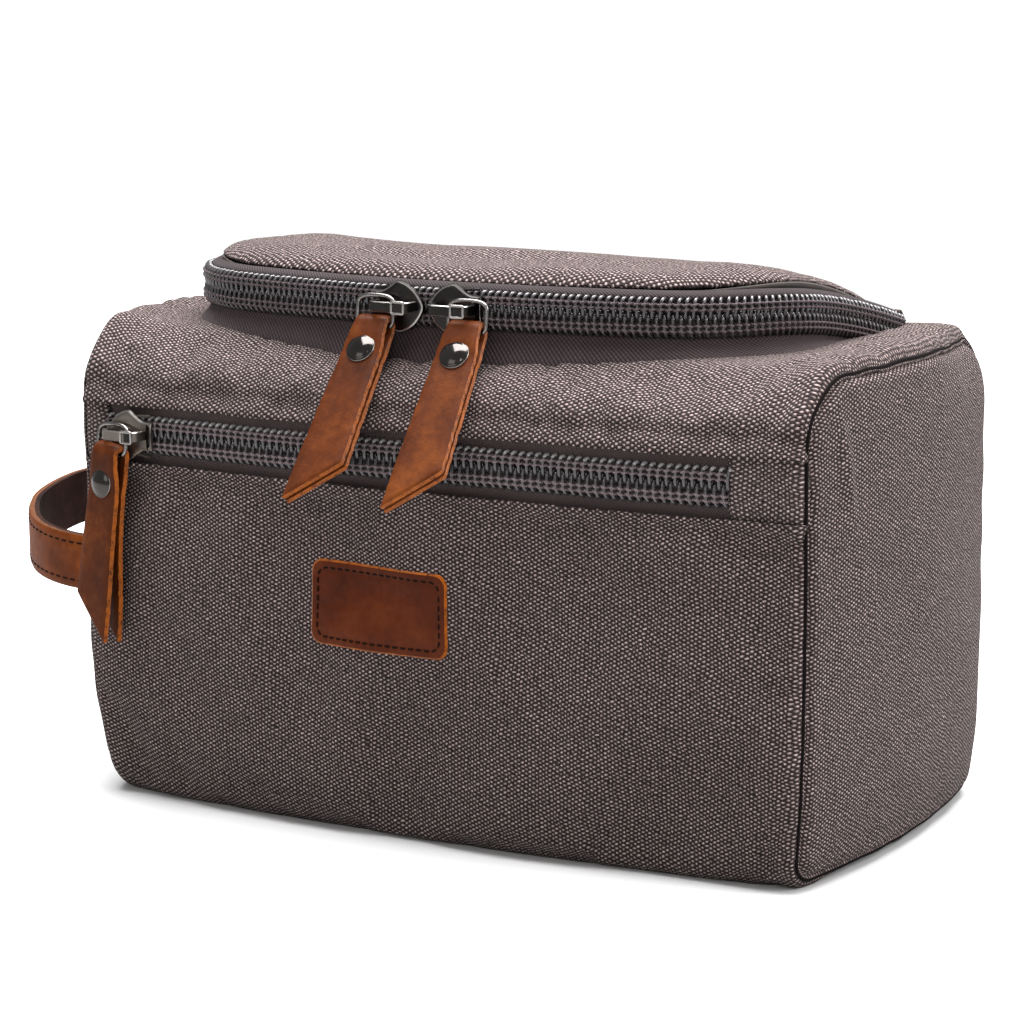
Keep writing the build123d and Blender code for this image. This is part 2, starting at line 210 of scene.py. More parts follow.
def tube(path, radius, n=8, closed=False):
    """A round bar along a path."""
    path = np.asarray(path, float)
    k = len(path)
    tan = unit(np.roll(path, -1, 0) - np.roll(path, 1, 0) if closed else np.gradient(path, axis=0))
    up = np.array([0.0, 0.0, 1.0]) if abs(tan[0][2]) < 0.8 else np.array([1.0, 0.0, 0.0])
    u = np.cross(tan[0], up)
    us = [u / np.linalg.norm(u)]
    for i in range(1, k):
        us.append(unit(us[-1] - tan[i] * np.dot(us[-1], tan[i])))
    us = np.array(us)
    ws = np.cross(tan, us)
    a = np.arange(n) * 2 * pi / n
    ring = us[:, None] * np.cos(a)[None, :, None] + ws[:, None] * np.sin(a)[None, :, None]
    verts = path[:, None] + ring * np.broadcast_to(radius, k)[:, None, None]
    faces = grid_faces(k, n, closed, True)
    return verts.reshape(-1, 3), faces if closed else faces + caps(k, n)


def resample(points, step):
    """Points evenly spaced along a polyline."""
    points = np.asarray(points, float)
    s = run(points)
    t = np.linspace(0, s[-1], max(2, int(ceil(s[-1] / step)) + 1))
    return np.stack([np.interp(t, s, points[:, i]) for i in range(points.shape[1])], 1)


def smooth_path(points, step):
    """A rounded curve through a few points."""
    p = np.asarray(points, float)
    q = np.concatenate([[2 * p[0] - p[1]], p, [2 * p[-1] - p[-2]]])
    t = np.linspace(0, 1, 9)[:-1, None]
    out = []
    for a, b, c, d in zip(q, q[1:], q[2:], q[3:]):
        out.append(0.5 * (2 * b + (c - a) * t + (2 * a - 5 * b + 4 * c - d) * t ** 2
                          + (3 * b - a - 3 * c + d) * t ** 3))
    return resample(np.concatenate(out + [p[-1:]]), step)


# ---- the soft body's surface
FRONT_RUN = H - R_BASE - R_FRONT
BACK_RUN = H - R_BASE - R_BACK
BASE_ARC = R_BASE * pi / 2
BREAKS = np.cumsum([0, HD + FB - R_BASE, BASE_ARC, FRONT_RUN, R_FRONT * pi / 2, 2 * HD + FB + BB - R_FRONT - R_BACK,
                    R_BACK * pi / 2, BACK_RUN, BASE_ARC, HD + BB - R_BASE])
FRONT_V = BREAKS[2] - R_BASE        # add a height on the front to get its distance round the bag
V_ZIP_LOW = FRONT_V + ZIP_LOW
V_ZIP_HIGH = min(FRONT_V + ZIP_HIGH, BREAKS[3])
V_BACK = BREAKS[6] + (H - R_BACK - wrap_hi[2])


def soften(p):
    """How the filled cloth settles: drawn-in lower corners, a lifted base edge at the ends, a slack front."""
    p = np.array(p, float)
    x, y, z = p[..., 0], p[..., 1], p[..., 2]    # views: each step starts from the last one's result
    side, left, rear = np.abs(x / HL), x < 0, bump(y / 50.0)
    x -= np.sign(x) * side ** 2 * share(1 - z / 46.0) ** 2 * np.where(left, 7.0, 2.5)
    z += share((np.abs(x) - 84) / 34.0) ** 2 * share(1 - z / 60.0) ** 2 * np.where(left, 5.0, 3.2)
    high = share((z - 118) / 23.0)
    z -= 2.8 * bell(y + 54, 9.0) * (1 - side ** 4) * bump((z - 122) / 14.0)
    x -= np.sign(x) * side ** 3 * high ** 2 * (1.0 + 3.5 * rear)
    z -= share(side - 0.72) ** 2 * high * (9.0 + 24.0 * rear)
    belly = np.sin(pi * share(z / 100.0)) * (1 - side ** 4)
    y += share(-y / 60.0) ** 4 * (noise(p[..., [0, 2]], 3, low=0.006, high=0.02) * 0.5 - belly * 0.9)
    return p


def profile(x, v):
    """The bag's section at x: y and z at a distance v round it, from the middle of the base to the front and over."""
    k = 1 - (x / HL) ** 2
    f, b = HD + FB * k, HD + BB * k
    t = [share((v - lo) / (hi - lo)) for lo, hi in zip(BREAKS, BREAKS[1:])]
    across = {i: np.sin(t[i] * pi / 2) for i in (1, 3, 5, 7)}
    along = {i: 1 - np.cos(t[i] * pi / 2) for i in (1, 3, 5, 7)}
    y = (-t[0] * (f - R_BASE) - R_BASE * across[1] + R_FRONT * along[3] + t[4] * (f - R_FRONT + b - R_BACK)
         + R_BACK * across[5] - R_BASE * along[7] - t[8] * (b - R_BASE))
    z = (R_BASE * along[1] + t[2] * FRONT_RUN + R_FRONT * across[3] - R_BACK * along[5] - t[6] * BACK_RUN
         - R_BASE * across[7])
    return y, z


def plain(x, v):
    """A point on the bag before the cloth settles; x runs to the half length at the end seams."""
    y, z = profile(x, v)
    return np.stack([x / HL * end_reach(y), y, z], -1)


def end_reach(y):
    """How far out the end panels come at y."""
    return HL + EB * share(1 - (y / HD) ** 2)


FIELD = None                        # grid and shifts of the simulated cloth


def settle_amount(x, v):
    """The simulated shift at (x, v), between the points of the settled grid."""
    if FIELD is None:
        return 0.0
    gx, gv, d = FIELD
    i = np.clip((x - gx[0]) / (gx[1] - gx[0]), 0, len(gx) - 1.001)
    j = np.clip((v - gv[0]) / (gv[1] - gv[0]), 0, len(gv) - 1.001)
    i0, j0 = i.astype(int), j.astype(int)
    a, b = bump(i - i0)[..., None], bump(j - j0)[..., None]
    return (d[i0, j0] * (1 - a) * (1 - b) + d[i0 + 1, j0] * a * (1 - b)
            + d[i0, j0 + 1] * (1 - a) * b + d[i0 + 1, j0 + 1] * a * b)


def body(x, v, out=0.0, seam=True):
    """A point on the settled bag, moved out along the surface by out."""
    x, v = np.broadcast_arrays(np.asarray(x, float), np.asarray(v, float))
    e = 0.5                         # half the step that the surface's direction is measured over
    n = unit(np.cross(plain(x + e, v) - plain(x - e, v), plain(x, v + e) - plain(x, v - e)))
    shift = out + np.zeros_like(x)
    if seam:
        gap = HL - np.abs(x)
        over = bump((v - BREAKS[3]) / 20) * bump((BREAKS[6] - v) / 20)
        ridge = (1 - bell(gap, 1.3)) * (1.6 + 1.0 * over) * bell(gap, 9.0 + 5 * over)
        pucker = bell(gap - 3, 5.0) * np.sin(v / 3.6 + 2 * np.sin(v / 17.0)) * (0.16 + 0.14 * over)
        shift = shift + (ridge + pucker - 0.9 * bell(gap, 0.9))
    return soften(plain(x, v) + n * shift[..., None]) + settle_amount(x, v)


# ---- the lid's outline
CORNER_R = LID_RAD - LID_CORNER     # from the front curve's centre to a corner's centre
CORNER_X = LID_R - LID_CORNER - LID_CX
CORNER_Y = LID_CY - sqrt(CORNER_R ** 2 - CORNER_X ** 2)
HALF_TURN = asin(CORNER_X / CORNER_R)
TURN = pi / 2 - HALF_TURN
SIDE = LID_Y1 - CORNER_Y
OUTLINE = 2 * SIDE + 2 * LID_CORNER * TURN + 2 * LID_RAD * HALF_TURN


def lid_path(s, out=0.0):
    """Points along the lid's outline, from the back left corner round the front."""
    s = np.asarray(s, float)
    b = SIDE + LID_CORNER * TURN
    c = b + 2 * LID_RAD * HALF_TURN
    d = c + LID_CORNER * TURN
    px, py, ang = np.zeros_like(s), np.zeros_like(s), np.zeros_like(s)
    k = s <= SIDE
    px[k], py[k], ang[k] = LID_L, LID_Y1 - s[k], pi
    for lo, hi, start, x, y, r in ((SIDE, b, pi, LID_L + LID_CORNER, CORNER_Y, LID_CORNER),
                                   (b, c, 1.5 * pi - HALF_TURN, LID_CX, LID_CY, LID_RAD),
                                   (c, d, 1.5 * pi + HALF_TURN, LID_R - LID_CORNER, CORNER_Y, LID_CORNER)):
        k = (s > lo) & (s <= hi)
        ang[k] = start + (s[k] - lo) / r
        px[k], py[k] = x + r * np.cos(ang[k]), y + r * np.sin(ang[k])
    k = s > d
    px[k], py[k], ang[k] = LID_R, CORNER_Y + (s[k] - d), 2 * pi
    px = px + 4.0 * bump((py + 5) / 55.0) * (px > 60)
    n = np.stack([np.cos(ang), np.sin(ang)], -1)
    return np.stack([px, py], -1) + n * np.asarray(out, float)[..., None]


def by_angle(points, count):
    """A closed outline at even angles about the lid's middle."""
    rel = points - LID_MID
    ang = np.arctan2(rel[:, 1], rel[:, 0])
    order = np.argsort(ang)
    want = np.linspace(-pi, pi, count, endpoint=False)
    r = np.interp(want, ang[order], np.linalg.norm(rel, axis=1)[order], period=2 * pi)
    return LID_MID + np.stack([np.cos(want), np.sin(want)], 1) * r[:, None]


def lid_ring(inset, count):
    """The lid's whole outline, moved in."""
    back = np.stack([np.linspace(LID_R + 4 - inset, LID_L + inset, 120), np.full(120, LID_Y1 - min(inset, 3.0))], 1)
    return by_angle(np.concatenate([lid_path(np.linspace(0, OUTLINE, 500), -inset), back]), count)


def circle_through(p, q, r):
    """Centre and radius of the circle through three points."""
    (x1, y1), (x2, y2), (x3, y3) = p, q, r
    m = np.array([[x2 - x1, y2 - y1], [x3 - x1, y3 - y1]]) * 2
    c = np.linalg.solve(m, [x2 ** 2 - x1 ** 2 + y2 ** 2 - y1 ** 2, x3 ** 2 - x1 ** 2 + y3 ** 2 - y1 ** 2])
    return c, float(np.hypot(x1 - c[0], y1 - c[1]))


DOME_MID, DOME_R = circle_through((LID_Y0, 160.0), (0.0, 163.6), (LID_Y1, 158.6))


def dome(y):
    """Height of the lid's crown."""
    return DOME_MID[1] + np.sqrt(np.maximum(DOME_R ** 2 - (y - DOME_MID[0]) ** 2, 0))


def sink(x, y):
    """How far the slack bag lets the lid down towards its hinge, most at the right."""
    far = 1 - np.cos(share((y + 30) / 84.0) * pi / 2)
    return (4.5 + 3.5 * bump((x + 20) / 100.0) + 6.5 * bump((x - 35) / 60.0)) * far


# ---- materials
class Value:
    """A node socket that takes part in sums."""
    def __init__(self, k, socket):
        self.k, self.socket = k, socket

    def __add__(self, other):
        return self.k.math("ADD", self, other)

    def __radd__(self, other):
        return self.k.math("ADD", other, self)

    def __sub__(self, other):
        return self.k.math("SUBTRACT", self, other)

    def __rsub__(self, other):
        return self.k.math("SUBTRACT", other, self)

    def __mul__(self, other):
        return self.k.math("MULTIPLY", self, other)

    def __truediv__(self, other):
        return self.k.math("DIVIDE", self, other)

    def __pow__(self, other):
        return self.k.math("POWER", self, other)

    def floor(self):
        return self.k.math("FLOOR", self)

    def to_and_fro(self, width):
        return self.k.math("PINGPONG", self, width)

    def rounded(self):
        """Half a sine wave over each whole step."""
        return self.k.math("SINE", self.k.math("FRACT", self) * pi)


class Nodes:
    """Short calls that build a material's node tree."""
    def __init__(self, name):
        self.mat = bpy.data.materials.new(name)
        self.mat.use_nodes = True
        self.tree = self.mat.node_tree

    def put(self, socket, value):
        if isinstance(value, Value):
            self.tree.links.new(value.socket, socket)
        elif value is not None:
            socket.default_value = value

    def math(self, op, *values, clamp=False):
        n = self.tree.nodes.new("ShaderNodeMath")
        n.operation, n.use_clamp = op, clamp
        for socket, v in zip(n.inputs, values):
            self.put(socket, v)
        return Value(self, n.outputs[0])

    def node(self, kind, inputs=(), out=0, **props):
        n = self.tree.nodes.new(kind)
        for name, v in props.items():
            setattr(n, name, v)
        for name, v in dict(inputs).items():
            self.put(n.inputs[name], v)
        return Value(self, n.outputs[out])

    def mix(self, f, a, b, mode="MIX"):
        n = self.tree.nodes.new("ShaderNodeMix")
        n.data_type, n.blend_type = "RGBA", mode
        for i, v in ((0, f), (6, a), (7, b)):
            self.put(n.inputs[i], v)
        return Value(self, n.outputs[2])

    def shaded(self, colour, shade):
        return self.mix(1.0, colour, self.node("ShaderNodeCombineXYZ", {"X": shade, "Y": shade, "Z": shade}),
                        "MULTIPLY")

    def noise(self, vec, scale, detail=3.0, rough=0.55):
        return self.node("ShaderNodeTexNoise",
                         {"Vector": vec, "Scale": scale, "Detail": detail, "Roughness": rough})

    def ramp(self, f, stops):
        n = self.tree.nodes.new("ShaderNodeValToRGB")
        while len(n.color_ramp.elements) < len(stops):
            n.color_ramp.elements.new(0.5)
        for e, (place, colour) in zip(n.color_ramp.elements, stops):
            e.position, e.color = place, colour
        self.put(n.inputs[0], f)
        return Value(self, n.outputs[0])

    def uv(self):
        """The UV vector, and its two parts."""
        uv = self.node("ShaderNodeUVMap", uv_map="UVMap")
        parts = self.node("ShaderNodeSeparateXYZ", {"Vector": uv}).socket.node.outputs
        return uv, Value(self, parts[0]), Value(self, parts[1])

    def obj(self):
        return self.node("ShaderNodeTexCoord", out="Object")

    def scaled(self, vec, *s):
        return self.node("ShaderNodeMapping", {"Vector": vec, "Scale": s})

    def bump(self, height, distance, strength=1.0, normal=None):
        return self.node("ShaderNodeBump", {"Height": height, "Distance": distance * MM, "Strength": strength,
                                            "Normal": normal})

    def done(self, colour, rough, normal=None, metallic=0.0, sheen=0.0, coat=0.0, spec=0.5, coat_rough=0.2):
        for name, v in (("Base Color", colour), ("Roughness", rough), ("Normal", normal), ("Metallic", metallic),
                        ("Sheen Weight", sheen), ("Sheen Roughness", 0.5), ("Coat Weight", coat),
                        ("Coat Roughness", coat_rough), ("Specular IOR Level", spec)):
            self.put(self.tree.nodes["Principled BSDF"].inputs[name], v)
        return self.mat


def rgb(r, g, b):
    """A screen colour, 0 to 255, as linear light."""
    f = lambda c: c / 12.92 if c <= 0.04045 else ((c + 0.055) / 1.055) ** 2.4
    return (f(r / 255), f(g / 255), f(b / 255), 1.0)


def times(colour, k, most=9):
    return tuple(min(most, c * k) for c in colour[:3]) + (1,)


def plain_weave(name, light, dark, pitch, relief=0.22, tone=0.22):
    """Canvas: light threads one way over dark threads the other, each uneven along its length."""
    k = Nodes(name)
    uv, u, v = k.uv()
    patchy = lambda a, b, *detail: k.noise(k.scaled(uv, a, b, 1), 1.0, *detail)
    wander, jitter = patchy(0.12, 0.12, 2.0), patchy(0.7, 0.7, 2.0)
    u = u / pitch + (wander * 2.2 + jitter * 0.95)
    v = v / (pitch * 0.55) + (wander * 1.6 + jitter * 0.8)
    over = (u.floor() + v.floor()).to_and_fro(1.0)
    su, sv = u.rounded(), v.rounded()
    high = over * (su ** 1.5 * sv ** 0.45) + (1.0 - over) * (sv * su ** 0.45)
    along = lambda x, y: k.noise(k.node("ShaderNodeCombineXYZ", {"X": x, "Y": y}), 1.0, 2.0)
    dark_thread = k.mix(along(u * 0.16, v.floor() * 3.7), times(dark, 0.55), times(dark, 1.75))
    light_thread = k.mix(along(u.floor() * 4.3, v * 0.16), times(light, 0.5), times(light, 1.45))
    slub = patchy(0.8, 1.0, 2.0) * 2.3
    wash = (1.0 - tone) + (patchy(0.035, 0.035, 4.0, 0.6) + patchy(0.02, 0.22, 3.0, 0.6)) * tone
    # Painted shade: each thread is darkened where it dips under its neighbours, by its height; slub and wash are the
    # yarn's own uneven tone
    shade = (0.14 + high ** 1.5 * 1.1) * (slub - 0.2) * wash
    fuzz = patchy(4.0, 4.0, 3.0)
    return k.done(k.shaded(k.mix(over, dark_thread, light_thread), shade), 0.80 + fuzz * 0.16,
                  k.bump(high + fuzz * 0.35, relief, 0.9), sheen=0.05, spec=0.20)


def twill(name, light, dark, pitch, herring=0.0, relief=0.16):
    """Twill tape: slanted ribs, turned back and forth in stripes when herring is their width."""
    k = Nodes(name)
    uv, u, v = k.uv()
    if herring:
        v = v.to_and_fro(herring)
    high = ((u + v) / pitch).rounded() * (0.55 + ((u - v) / (pitch * 1.15)).rounded() * 0.45)
    cloudy = k.noise(k.scaled(uv, 0.08, 0.2, 1), 1.0, 3.0, 0.6)
    fuzz = k.noise(k.scaled(uv, 3.5, 3.5, 1), 1.0, 2.0)
    # Painted shade: the colour runs from dark in the hollows between ribs to light on their crests, by rib height
    f = k.math("MULTIPLY", high ** 1.2, 0.6 + fuzz * 0.7, clamp=True)
    return k.done(k.shaded(k.mix(f, dark, light), 0.68 + cloudy * 0.6), 0.72 + fuzz * 0.2,
                  k.bump(high + fuzz * 0.25, relief, 0.9), sheen=0.08, spec=0.25)


def hide(name, deep, mid, pale, rough=0.46):
    """Oiled pull-up leather: clouded browns, pale scuffs, fine creases and pores."""
    k = Nodes(name)
    p = k.obj()
    cloud = k.noise(p, 55.0, 4.0, 0.6)
    colour = k.ramp(cloud * 0.75 + k.noise(p, 420.0, 3.0, 0.6) * 0.25, [(0.30, deep), (0.50, mid), (0.68, pale)])
    scuff = k.math("GREATER_THAN", k.noise(k.scaled(p, 1, 1, 0.25), 700.0, 4.0, 0.7), 0.66)
    grain = k.node("ShaderNodeTexVoronoi", {"Vector": p, "Scale": 1500.0})
    crease = k.node("ShaderNodeTexVoronoi", {"Vector": p, "Scale": 620.0}, feature="DISTANCE_TO_EDGE")
    pits = grain * 0.6 + k.math("MINIMUM", crease * 3.0, 0.5)
    return k.done(k.mix(scuff * 0.22, colour, pale), (rough - 0.08) + k.noise(p, 130.0) * 0.22,
                  k.bump(pits, 0.05, 0.5, k.bump(cloud, 0.6, 0.25)), spec=0.14, coat=0.01, coat_rough=0.35)


def cut_edge(name, deep, bright):
    """The raw cut edge of leather: loose fibres."""
    k = Nodes(name)
    p = k.obj()
    fibre = k.noise(k.scaled(p, 1.0, 1.0, 1.0), 1500.0, 4.0, 0.7)
    colour = k.ramp(fibre * 0.6 + k.noise(p, 420.0, 2.0) * 0.4,
                    [(0.36, deep), (0.50, bright), (0.72, times(bright, 1.5, most=1))])
    return k.done(colour, 0.92, k.bump(fibre, 0.35), sheen=0.25, spec=0.15)


def metal(name, dark, light, rough, relief=0.004):
    """Plated casting with fine scratches, cloudy plating and rubbed spots."""
    k = Nodes(name)
    p = k.obj()
    cloud = k.noise(p, 240.0, 3.0, 0.6)
    uneven = cloud + k.noise(k.scaled(p, 8.0, 1.0, 1.0), 900.0, 2.0)
    return k.done(k.mix(cloud, dark, light), rough + uneven * 0.12, k.bump(uneven, relief, 0.35), metallic=1.0)


def nylon(name, dark, light, rough=0.08):
    """Dyed coil filament: even satin gloss with faint colour change from tooth to tooth."""
    k = Nodes(name)
    p = k.obj()
    fine = k.noise(p, 2200.0, 2.0)
    return k.done(k.mix(k.noise(p, 330.0, 2.0), dark, light), rough + fine * 0.15, k.bump(fine, 0.02, 0.4),
                  spec=0.8, coat=0.8, coat_rough=0.10)


def thread(name, a, b, shine=0.3):
    """Sewing thread: two plies twisted together."""
    k = Nodes(name)
    twist = k.node("ShaderNodeTexWave", {"Vector": k.obj(), "Scale": 900.0, "Distortion": 1.0}, 1,
                   bands_direction="DIAGONAL")
    return k.done(k.mix(twist, a, b), 0.6 + twist * 0.2, k.bump(twist, 0.05, 0.7), sheen=shine * 0.66, spec=shine)


CANVAS = plain_weave("canvas", rgb(186, 166, 163), rgb(54, 40, 39), 1.12)
# Painted light: a paler copy of the canvas for the pocket tabs, lifting them out of the shade they sit in
CANVAS_TAB_PAINTED_LIGHT = plain_weave("canvas_tab_painted_light", rgb(204, 184, 181), rgb(74, 60, 59), 1.12)
BAND = twill("binding_twill", rgb(90, 76, 78), rgb(37, 29, 30), 1.3)
TAPE_TOP = twill("lid_tape_twill", rgb(76, 64, 66), rgb(30, 24, 25), 1.1)
TAPE = twill("zip_tape", rgb(122, 106, 105), rgb(48, 39, 39), 0.8, herring=2.3)
LINING = twill("lining_cloth", rgb(120, 112, 108), rgb(76, 70, 67), 0.5, relief=0.05)
LEATHER = hide("leather", rgb(62, 25, 4), rgb(90, 40, 8), rgb(122, 62, 18))
LEATHER_STRAP = hide("strap_leather", rgb(82, 35, 4), rgb(116, 54, 10), rgb(150, 78, 20))
LEATHER_LABEL = hide("leather_label", rgb(66, 25, 7), rgb(92, 37, 11), rgb(112, 51, 18))
LEATHER_BACK = hide("leather_back", rgb(28, 16, 14), rgb(50, 30, 25), rgb(70, 44, 36), rough=0.8)
EDGE = cut_edge("leather_edge", rgb(84, 34, 3), rgb(178, 92, 10))
# Painted shade: a darker copy of the cut edge for the handle, darkened against the top light that falls on it
HANDLE_EDGE_PAINTED_SHADE = cut_edge("handle_edge_painted_shade", rgb(50, 23, 5), rgb(110, 58, 14))
GUN = metal("slider_metal", rgb(40, 38, 38), rgb(74, 70, 69), 0.20)
PEWTER = metal("pocket_slider_metal", rgb(112, 105, 98), rgb(150, 143, 134), 0.24)
# Painted highlight: a pale metal for bevels, bridge edges, the lock frame and rivet rims, standing in for the light
# they catch
METAL_EDGE_HIGHLIGHT = metal("metal_edge_painted_highlight", rgb(150, 145, 142), rgb(205, 200, 196), 0.16)
WIRE = metal("ring_metal", rgb(120, 116, 114), rgb(176, 172, 170), 0.12)
CHROME = metal("rivet_metal", rgb(76, 72, 70), rgb(98, 94, 92), 0.0, relief=0.001)
COIL = nylon("zip_coil", rgb(38, 35, 37), rgb(70, 65, 68))
COIL_POCKET = nylon("pocket_coil", rgb(44, 41, 43), rgb(82, 77, 80))
# Painted highlights: paler copies of the coils, put on the upper teeth's outer bends where the top light would glint
LID_COIL_PAINTED_HIGHLIGHT = nylon("lid_coil_painted_highlight", rgb(58, 54, 57), rgb(104, 99, 102))
POCKET_COIL_PAINTED_HIGHLIGHT = nylon("pocket_coil_painted_highlight", rgb(140, 136, 138), rgb(205, 202, 203))
SEWING_POCKET = thread("pocket_sewing", rgb(92, 78, 82), rgb(156, 139, 142))
SEWING = thread("zip_sewing", rgb(68, 56, 59), rgb(122, 107, 110))
# Painted shade: near-black colour for the tube laid in the end seams' valley, where the gap is in shade
SEAM_PAINTED_SHADE = thread("canvas_seam_painted_shade", rgb(14, 11, 11), rgb(30, 24, 24), 0.03)
STITCH = thread("leather_stitch", rgb(20, 12, 9), rgb(48, 30, 22), 0.03)


# ---- cloth simulation of the walls
def settle_cloth():
    """Lets the wrap and top cloth swell and wrinkle a little between the seams that hold it."""
    nx, nv, frames, most = 60, 128, 20, 2.6
    gx, gv = np.linspace(-HL, HL, nx), np.linspace(0, BREAKS[-1], nv)
    x, v = grid(gx, gv)
    rest = soften(plain(x, v))
    me = bpy.data.meshes.new("settle")
    me.from_pydata((rest.reshape(-1, 3) * MM).tolist(), [], grid_faces(nx, nv, flip=True))
    obj = bpy.data.objects.new("settle", me)
    scene = bpy.context.scene
    scene.collection.objects.link(obj)
    y, z = rest[..., 1], rest[..., 2]
    held = (np.abs(x) > HL - 2) | (z < 1.0)
    held |= (np.abs(z - CHAIN_Z) < 9.5) & (y < 0)
    held |= (z > H - 3) & (x > LID_L - 3) & (x < LID_R + 3) & (y > LID_Y0 - 2)
    group = obj.vertex_groups.new(name="held")
    group.add(np.nonzero(held.reshape(-1))[0].tolist(), 1.0, "REPLACE")
    mod = obj.modifiers.new("Cloth", "CLOTH")
    c = mod.settings
    c.quality, c.mass = 5, 0.25
    c.tension_stiffness = c.compression_stiffness = 18
    c.shear_stiffness, c.bending_stiffness = 6, 2.5
    c.vertex_group_mass, c.pin_stiffness = "held", 1.0
    c.shrink_min = -0.012
    c.use_pressure, c.uniform_pressure_force = True, 1.2
    c.effector_weights.gravity = 0.0
    mod.collision_settings.use_collision = False
    scene.frame_start, scene.frame_end = 1, frames
    mod.point_cache.frame_start, mod.point_cache.frame_end = 1, frames
    for f in range(1, frames + 1):
        scene.frame_set(f)
    got = obj.evaluated_get(bpy.context.evaluated_depsgraph_get()).to_mesh()
    co = np.zeros(len(got.vertices) * 3)
    got.vertices.foreach_get("co", co)
    d = co.reshape(nx, nv, 3) / MM - rest
    d *= np.minimum(1, most / np.maximum(np.linalg.norm(d, axis=-1, keepdims=True), 1e-6))
    bpy.data.objects.remove(obj)
    scene.frame_set(1)
    return gx, gv, d


FIELD = settle_cloth()


# ---- body cloth
def seam_to_seam():
    """Places along the bag, closer together beside the end seams."""
    gaps = np.array([0, 0.45, 0.9, 1.35, 1.8, 2.5, 3.4, 4.5, 6.0, 7.8])
    return np.concatenate([-HL + gaps, np.linspace(-HL + 9.8, HL - 9.8, 108), (HL - gaps)[::-1]])


def mean_run(p, axis):
    """Mean distance along a grid of points, one way or the other."""
    return np.concatenate([[0], np.cumsum(np.linalg.norm(np.diff(p, axis=axis), axis=-1).mean(1 - axis))])


def cloth_uv(p):
    """UVs in millimetres measured along the cloth itself."""
    return flat_uv(mean_run(p, 0), mean_run(p, 1))


def sheet(p, thick):
    """A thin closed cloth through a grid of points."""
    return shell(Piece(), p, grid_faces(*p.shape[:2], flip=True), thick, cloth_uv(p))


def wrap_part(name, v0, v1, foams, hem=0.0):
    """A run of canvas between two distances round the bag; hem is how far its last edge stands out."""
    vs = np.linspace(v0, v1, int((v1 - v0) / 2.0) + 1)
    if hem:
        vs = np.concatenate([vs[:-3], v1 - np.array([4.4, 3.2, 2.3, 1.6, 1.0, 0.5, 0])])
    x, v = grid(seam_to_seam(), vs)
    piece = sheet(body(x, v, hem * bell(v1 - v, 2.2) - 0.3 * hem * bell(v1 - v - 5.5, 1.8)), CLOTH)
    piece.make(name, "bag", "canvas", [CANVAS], ("body_wrap_panel",) + foams)


def top_cloth():
    """The yoke, with a hole for the lid whose edge follows the lid's outline."""
    vs = np.concatenate([V_ZIP_HIGH + np.array([0, 0.5, 1.0, 1.6, 2.3, 3.2, 4.4, 5.8, 7.4]),
                         np.linspace(V_ZIP_HIGH + 9.2, V_BACK, 92)])
    x, v = grid(seam_to_seam(), vs)
    lift = 1.5 * bell(v - V_ZIP_HIGH, 2.6) + 0.35 * bell(V_BACK - v, 2.0) - 0.5 * bell(v - V_ZIP_HIGH - 5.5, 1.6)
    p = body(x, v, lift)
    uv = cloth_uv(p)
    all_faces = grid_faces(*x.shape, flip=True)
    p = p.reshape(-1, 3)
    at = np.linspace(0, OUTLINE, 700)
    edge = lid_path(at, 2.6 + 1.8 * bump((-34 - lid_path(at)[:, 1]) / 14.0))
    back = np.stack([np.linspace(LID_R + 6.6, LID_L - 2.6, 180), np.full(180, LID_Y1)], 1)
    edge = np.concatenate([edge, back])[::4]
    on = edge[np.argmin(np.linalg.norm(p[:, None, :2] - edge[None], axis=2), 1)]
    inside = np.linalg.norm(p[:, :2] - LID_MID, axis=1) < np.linalg.norm(on - LID_MID, axis=1)
    inside &= p[:, 2] > H - 12
    p[inside, :2] = on[inside]
    faces = [f for f in all_faces if not all(inside[list(f)])]
    used = sorted({i for f in faces for i in f})
    index = {k: i for i, k in enumerate(used)}
    piece = shell(Piece(), p[used], [tuple(index[i] for i in f) for f in faces], CLOTH, uv[used])
    piece.make("top_yoke_cloth", "bag", "canvas", [CANVAS], ("top_panel",))


